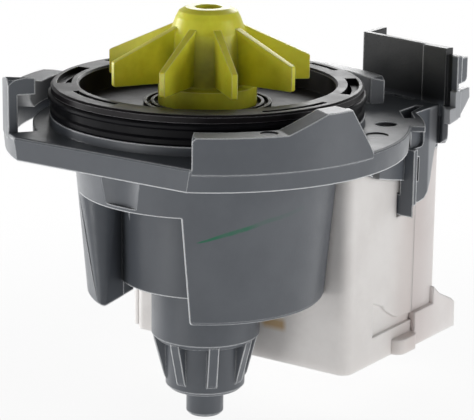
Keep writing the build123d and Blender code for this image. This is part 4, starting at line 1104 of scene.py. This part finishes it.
@dataclass
class WoundCoil:
    """One coil: a single wire laid in turns and layers round its bobbin, in millimetres."""

    side: Side
    inner_x: float = 8.3
    outer_x: float = 19.5
    bottom: float = -31.6
    top: float = -15.4
    front: float = 15.45
    back: float = 30.6
    wire: float = 0.5
    layers: int = 6
    corner_steps: int = 3
    wire_sides: int = 5

    def turns(self) -> int:
        """Turns of one layer."""
        return int((self.back - self.front) / self.wire) - 1

    def tree(self, word: str) -> Tree:
        """Open the coil's tree with its sizes as inputs."""
        steps = 4 * self.corner_steps
        per_layer = self.turns() * steps
        return Tree(f"wound_wire_{word}", {
            "Points": (INTEGER, self.layers * per_layer),
            "Points per Turn": (FLOAT, float(steps)),
            "Points per Layer": (FLOAT, float(per_layer)),
            "Corner Steps": (FLOAT, float(self.corner_steps)),
            "Wire": (FLOAT, self.wire * MM),
            "Half Width": (FLOAT, (self.outer_x - self.inner_x) / 2 * MM),
            "Half Height": (FLOAT, (self.top - self.bottom) / 2 * MM),
            "Centre": (VECTOR, (
                self.side.value * (self.inner_x + self.outer_x) / 2 * MM,
                (self.front + self.wire / 2) * MM,
                (self.top + self.bottom) / 2 * MM,
            )),
            "Material": (MATERIAL, Finishes.get(Finishes.WIRE)),
        })

    def place(self, tree: Tree) -> Socket:
        """Place of each point of the wire, turn by turn and layer by layer.

        Args:
            tree: The coil's tree.

        Returns:
            The place's socket.
        """
        sheet = tree.sheet
        labels = ("Points per Turn", "Points per Layer", "Corner Steps", "Wire")
        per_turn, per_layer, corners, wire = (tree.value(label) for label in labels)
        index = sheet.add("GeometryNodeInputIndex").outputs[0]
        layer = sheet.math("FLOOR", sheet.math("DIVIDE", index, per_layer))
        within = sheet.math("FLOORED_MODULO", index, per_layer)
        step = sheet.math("FLOORED_MODULO", index, per_turn)
        corner = sheet.math("FLOOR", sheet.math("DIVIDE", sheet.math("ADD", step, 0.01), corners))
        inner = sheet.math("SUBTRACT", step, sheet.times(corner, corners))
        part = sheet.math("DIVIDE", inner, sheet.math("SUBTRACT", corners, 1.0))
        angle = sheet.times(sheet.math("ADD", corner, part), math.pi / 2)
        middle = sheet.times(sheet.math("ADD", corner, 0.5), math.pi / 2)
        radius = sheet.times(sheet.math("ADD", layer, 0.5), wire)
        across, upwards = (
            self.reach(sheet, function, angle, middle, radius, tree.value(half))
            for function, half in (("COSINE", "Half Width"), ("SINE", "Half Height"))
        )
        odd = sheet.math("FLOORED_MODULO", layer, 2.0)
        back = sheet.math("SUBTRACT", per_layer, within)
        travel = sheet.math("ADD", within, sheet.times(odd, sheet.math("SUBTRACT", back, within)))
        along = sheet.times(sheet.math("DIVIDE", travel, per_turn), wire)
        ends = {0: sheet.joined(across, along, upwards), 1: tree.value("Centre")}
        return sheet.out("ShaderNodeVectorMath", ends, operation="ADD")

    def reach(
        self, sheet: Sheet, function: str, angle: Socket, middle: Socket, radius: Socket, half: Socket,
    ) -> Socket:
        """Distance of the wire from the coil's centre along one side of its rounded rectangle.

        Args:
            sheet: Sheet of the tree.
            function: COSINE across or SINE upwards.
            angle: Direction of the point round its corner.
            middle: Direction of the corner itself.
            radius: Distance of the wire from the bobbin's corner.
            half: Half size of the bobbin on that side.

        Returns:
            The distance's socket.
        """
        centre = sheet.times(sheet.math("SIGN", sheet.math(function, middle)), half)
        return sheet.math("MULTIPLY_ADD", sheet.math(function, angle), radius, centre)

    def build(self) -> bpy.types.Object:
        """Wind the wire and put it in the plain winding's place."""
        word = self.side.name.lower()
        tree = self.tree(word)
        sheet = tree.sheet
        place = self.place(tree)
        line = sheet.out("GeometryNodeMeshLine", {"Count": tree.value("Points")}, mode="OFFSET")
        laid = sheet.out("GeometryNodeSetPosition", {"Geometry": line, "Position": place})
        path = sheet.out("GeometryNodeMeshToCurve", {"Mesh": laid})
        inputs = {"Resolution": self.wire_sides, "Radius": sheet.times(tree.value("Wire"), 0.5)}
        ring = sheet.out("GeometryNodeCurvePrimitiveCircle", inputs)
        inputs = {"Curve": path, "Profile Curve": ring, "Fill Caps": True}
        drawn = sheet.out("GeometryNodeCurveToMesh", inputs)
        tree.close(sheet.out("GeometryNodeSetShadeSmooth", {"Geometry": drawn}))
        piece = tree.plain(bpy.data.meshes.new("coil_start"), f"wound_coil_{word}")
        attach(piece, Body.HOUSING.value)
        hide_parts(f"coil_winding_{word}")
        LOG.info("built wound_coil_%s with %d faces", word, len(piece.data.polygons))
        return piece


@dataclass
class BoxedMotor:
    """White casing with its rear cover, terminals, bobbins, coils and core."""

    core: SheetCore = field(default_factory=SheetCore)
    coils: tuple[WoundCoil, ...] = (WoundCoil(Side.LEFT), WoundCoil(Side.RIGHT))
    cheek: Prism = Prism(
        "casing_cheek",
        (
            (-25.9, 12.2), (-26.7, 12.3), (-27.2, 12.7), (-27.4, 13.3), (-27.4, 27.4), (-27.0, 28.0),
            (-25.9, 28.2),
        ),
        -49.7, -22.0,
    )
    pocket_walls: Point = (23.3, 24.0)
    pocket_front: float = 27.6
    pocket_back: float = 31.8
    pocket_bottom: float = -22.6
    pocket_top: float = -15.4

    def pocket(self, side: Side) -> Prism:
        """Wall behind the latch pocket on one side.

        Args:
            side: Side of the casing.

        Returns:
            The wall as a prism.
        """
        near, far = sorted(side.value * wall for wall in self.pocket_walls)
        front, back = self.pocket_front, self.pocket_back
        plan = ((near, front), (far, front), (far, back), (near, back))
        name = f"latch_pocket_{side.name.lower()}"
        return Prism(name, plan, self.pocket_bottom, self.pocket_top)

    def build(self) -> list[bpy.types.Object]:
        """Dress the casing and build what sits inside it."""
        nodes = {"motor_casing": Finishes.CASING, "casing_cover": Finishes.CASING_REAR}
        for side in Side:
            word = side.name.lower()
            nodes[f"coil_bobbin_{word}"] = Finishes.BOBBIN
            nodes[f"spade_terminal_{word}"] = Finishes.TERMINAL
            nodes[f"coil_winding_{word}"] = Finishes.WIRE
        nodes["stator_core"] = Finishes.SHEETS
        pieces = dress(nodes)
        pieces.append(self.core.build())
        pieces += [coil.build() for coil in self.coils]
        walls = (self.cheek, self.pocket(Side.RIGHT), self.pocket(Side.LEFT))
        pieces += [wall.build(Finishes.CASING, "casing") for wall in walls]
        return pieces


@dataclass(frozen=True)
class Lamp:
    """One soft area lamp that looks at the pump."""

    name: str
    place: tuple[float, float, float]
    size: float
    power: float


@dataclass
class Studio:
    """Pale floor, soft lamps, white surroundings and the camera of the photograph."""

    camera_place: Vector = field(default_factory=lambda: Vector((234.5, -330.6, 92.2)) * MM)
    camera_target: Vector = field(default_factory=lambda: Vector((4.89, 3.36, -17.87)) * MM)
    roll: float = math.radians(0.730)
    lens: float = 163.75
    sensor: float = 36.0
    clip_start: float = 0.01
    clip_end: float = 10.0
    light_above: float = 0.11
    light_level: float = 0.3
    light_below: float = 1.15
    light_behind: float = 2.5
    behind: tuple[float, float, float] = (-0.566, 0.824, 0.0)
    behind_step: Point = (0.35, 0.95)
    upper_height: float = 0.6
    lower_height: float = -0.4
    lamps: tuple[Lamp, ...] = (
        Lamp("left_lamp", (-0.99, -0.14, 0.02), 0.5, 6.0),
        Lamp("right_lamp", (0.9, 0.3, 0.1), 0.5, 3.0),
        Lamp("front_lamp", (-0.25, -0.95, -0.02), 0.4, 2.0),
        Lamp("rear_lamp", (-0.4, 0.85, 0.36), 0.5, 3.5),
    )
    floor_radius: float = 0.45
    floor_middle: Point = (0.0, 10.0 * MM)
    floor_corners: int = 96
    floor_solid: float = 0.03
    floor_clear: float = 0.16
    floor_least: float = 0.35
    floor_glow: float = 0.7
    floor_seen: float = 0.88
    floor_tone: Colour = (0.9, 0.9, 0.9)
    white: Colour = (1.0, 1.0, 1.0)

    def lit(self) -> None:
        """Hang the lamps, each turned to the middle of the pump."""
        for lamp in self.lamps:
            data = bpy.data.lights.new(lamp.name, "AREA")
            data.shape = "SQUARE"
            data.size = lamp.size
            data.energy = lamp.power
            item = shown(lamp.name, data)
            item.location = lamp.place
            aim = self.camera_target - Vector(lamp.place)
            item.rotation_euler = aim.to_track_quat("-Z", "Y").to_euler()

    def surroundings(self) -> None:
        """Soft light, weak from above and strong from below, that the camera sees as white."""
        world = bpy.data.worlds.new("studio")
        bpy.context.scene.world = world
        sheet = Sheet.cleared(world)
        path = sheet.add("ShaderNodeLightPath").outputs
        way = sheet.add("ShaderNodeTexCoord").outputs["Generated"]
        height = sheet.split(way)[2]
        level, added = self.light_level, self.light_below - self.light_level
        upper = sheet.span(height, 0.0, self.upper_height, level, self.light_above, smooth=True)
        facing = sheet.measure("DOT_PRODUCT", way, self.behind)
        upper = sheet.times(upper, sheet.span(facing, *self.behind_step, 1.0, self.light_behind, smooth=True))
        lower = sheet.span(height, 0.0, self.lower_height, 0.0, added, smooth=True)
        seen = sheet.math("MAXIMUM", path["Is Camera Ray"], path["Is Transmission Ray"])
        strength = sheet.span(seen, 0.0, 1.0, sheet.math("ADD", upper, lower), 1.0)
        light = sheet.out("ShaderNodeBackground", {"Color": self.white, "Strength": strength})
        sheet.fill(sheet.add("ShaderNodeOutputWorld"), {"Surface": light})

    def floor_material(self, middle: tuple[float, float, float]) -> bpy.types.Material:
        """Pale material that fades out round the middle.

        Args:
            middle: Middle of the floor.

        Returns:
            The material.
        """
        material = bpy.data.materials.new("pale_floor")
        sheet = Sheet.cleared(material)
        flat = sheet.out("ShaderNodeBsdfDiffuse", {"Color": self.floor_tone})
        clear = sheet.add("ShaderNodeBsdfTransparent").outputs[0]
        away = sheet.measure("DISTANCE", sheet.place(), middle)
        fade = sheet.span(away, self.floor_solid, self.floor_clear, self.floor_least, 1.0, smooth=True)
        glow = sheet.out("ShaderNodeEmission", {"Color": self.white})
        seen = sheet.add("ShaderNodeLightPath").outputs["Is Camera Ray"]
        share = sheet.span(seen, 0.0, 1.0, self.floor_glow, self.floor_seen)
        table = sheet.out("ShaderNodeMixShader", {0: share, 1: flat, 2: glow})
        mixed = sheet.out("ShaderNodeMixShader", {0: fade, 1: table, 2: clear})
        sheet.fill(sheet.add("ShaderNodeOutputMaterial"), {"Surface": mixed})
        return material

    def floor(self) -> bpy.types.Object:
        """Round pale floor under the pump that keeps its shadow and fades into the white.

        Returns:
            The floor's object.
        """
        x, y = self.floor_middle
        low = CAD_BOX[0][2]
        count = self.floor_corners
        radius = self.floor_radius
        points = [(x, y, low)]
        for index in range(count):
            angle = 2 * math.pi * index / count
            points.append((x + radius * math.cos(angle), y + radius * math.sin(angle), low))
        faces = [(0, 1 + index, 1 + (index + 1) % count) for index in range(count)]
        mesh = bpy.data.meshes.new("studio_floor")
        mesh.from_pydata(points, [], faces)
        mesh.materials.append(self.floor_material(points[0]))
        piece = shown("studio_floor", mesh)
        return piece

    def camera(self) -> bpy.types.Object:
        """Set the camera that matches the photograph.

        Returns:
            The camera's object.
        """
        data = bpy.data.cameras.new("photo_camera")
        data.lens = self.lens
        data.sensor_fit = "HORIZONTAL"
        data.sensor_width = self.sensor
        data.clip_start = self.clip_start
        data.clip_end = self.clip_end
        item = shown("photo_camera", data)
        view = (self.camera_target - self.camera_place).normalized()
        level = view.cross(Vector((0, 0, 1))).normalized()
        upright = level.cross(view)
        right = math.cos(self.roll) * level + math.sin(self.roll) * upright
        up = math.cos(self.roll) * upright - math.sin(self.roll) * level
        turn = Matrix((right, up, -view)).transposed()
        item.matrix_world = Matrix.Translation(self.camera_place) @ turn.to_4x4()
        bpy.context.scene.camera = item
        return item

    def build(self) -> None:
        """Set up the whole studio."""
        self.surroundings()
        self.lit()
        self.floor()
        self.camera()
        bpy.context.scene.view_settings.view_transform = "Standard"
        LOG.info("studio set")


def main() -> None:
    """Build the sub-assemblies in order and report each piece."""
    logging.basicConfig(level=logging.INFO, format="%(name)s: %(message)s")
    for part in (GreyHousing(), SealedPlate(), Rotor(), Vanes(), BoxedMotor()):
        pieces = part.build()
        LOG.info("%s: %s", type(part).__name__, ", ".join(piece.name for piece in pieces))
    Studio().build()


if __name__ == "__main__":
    main()
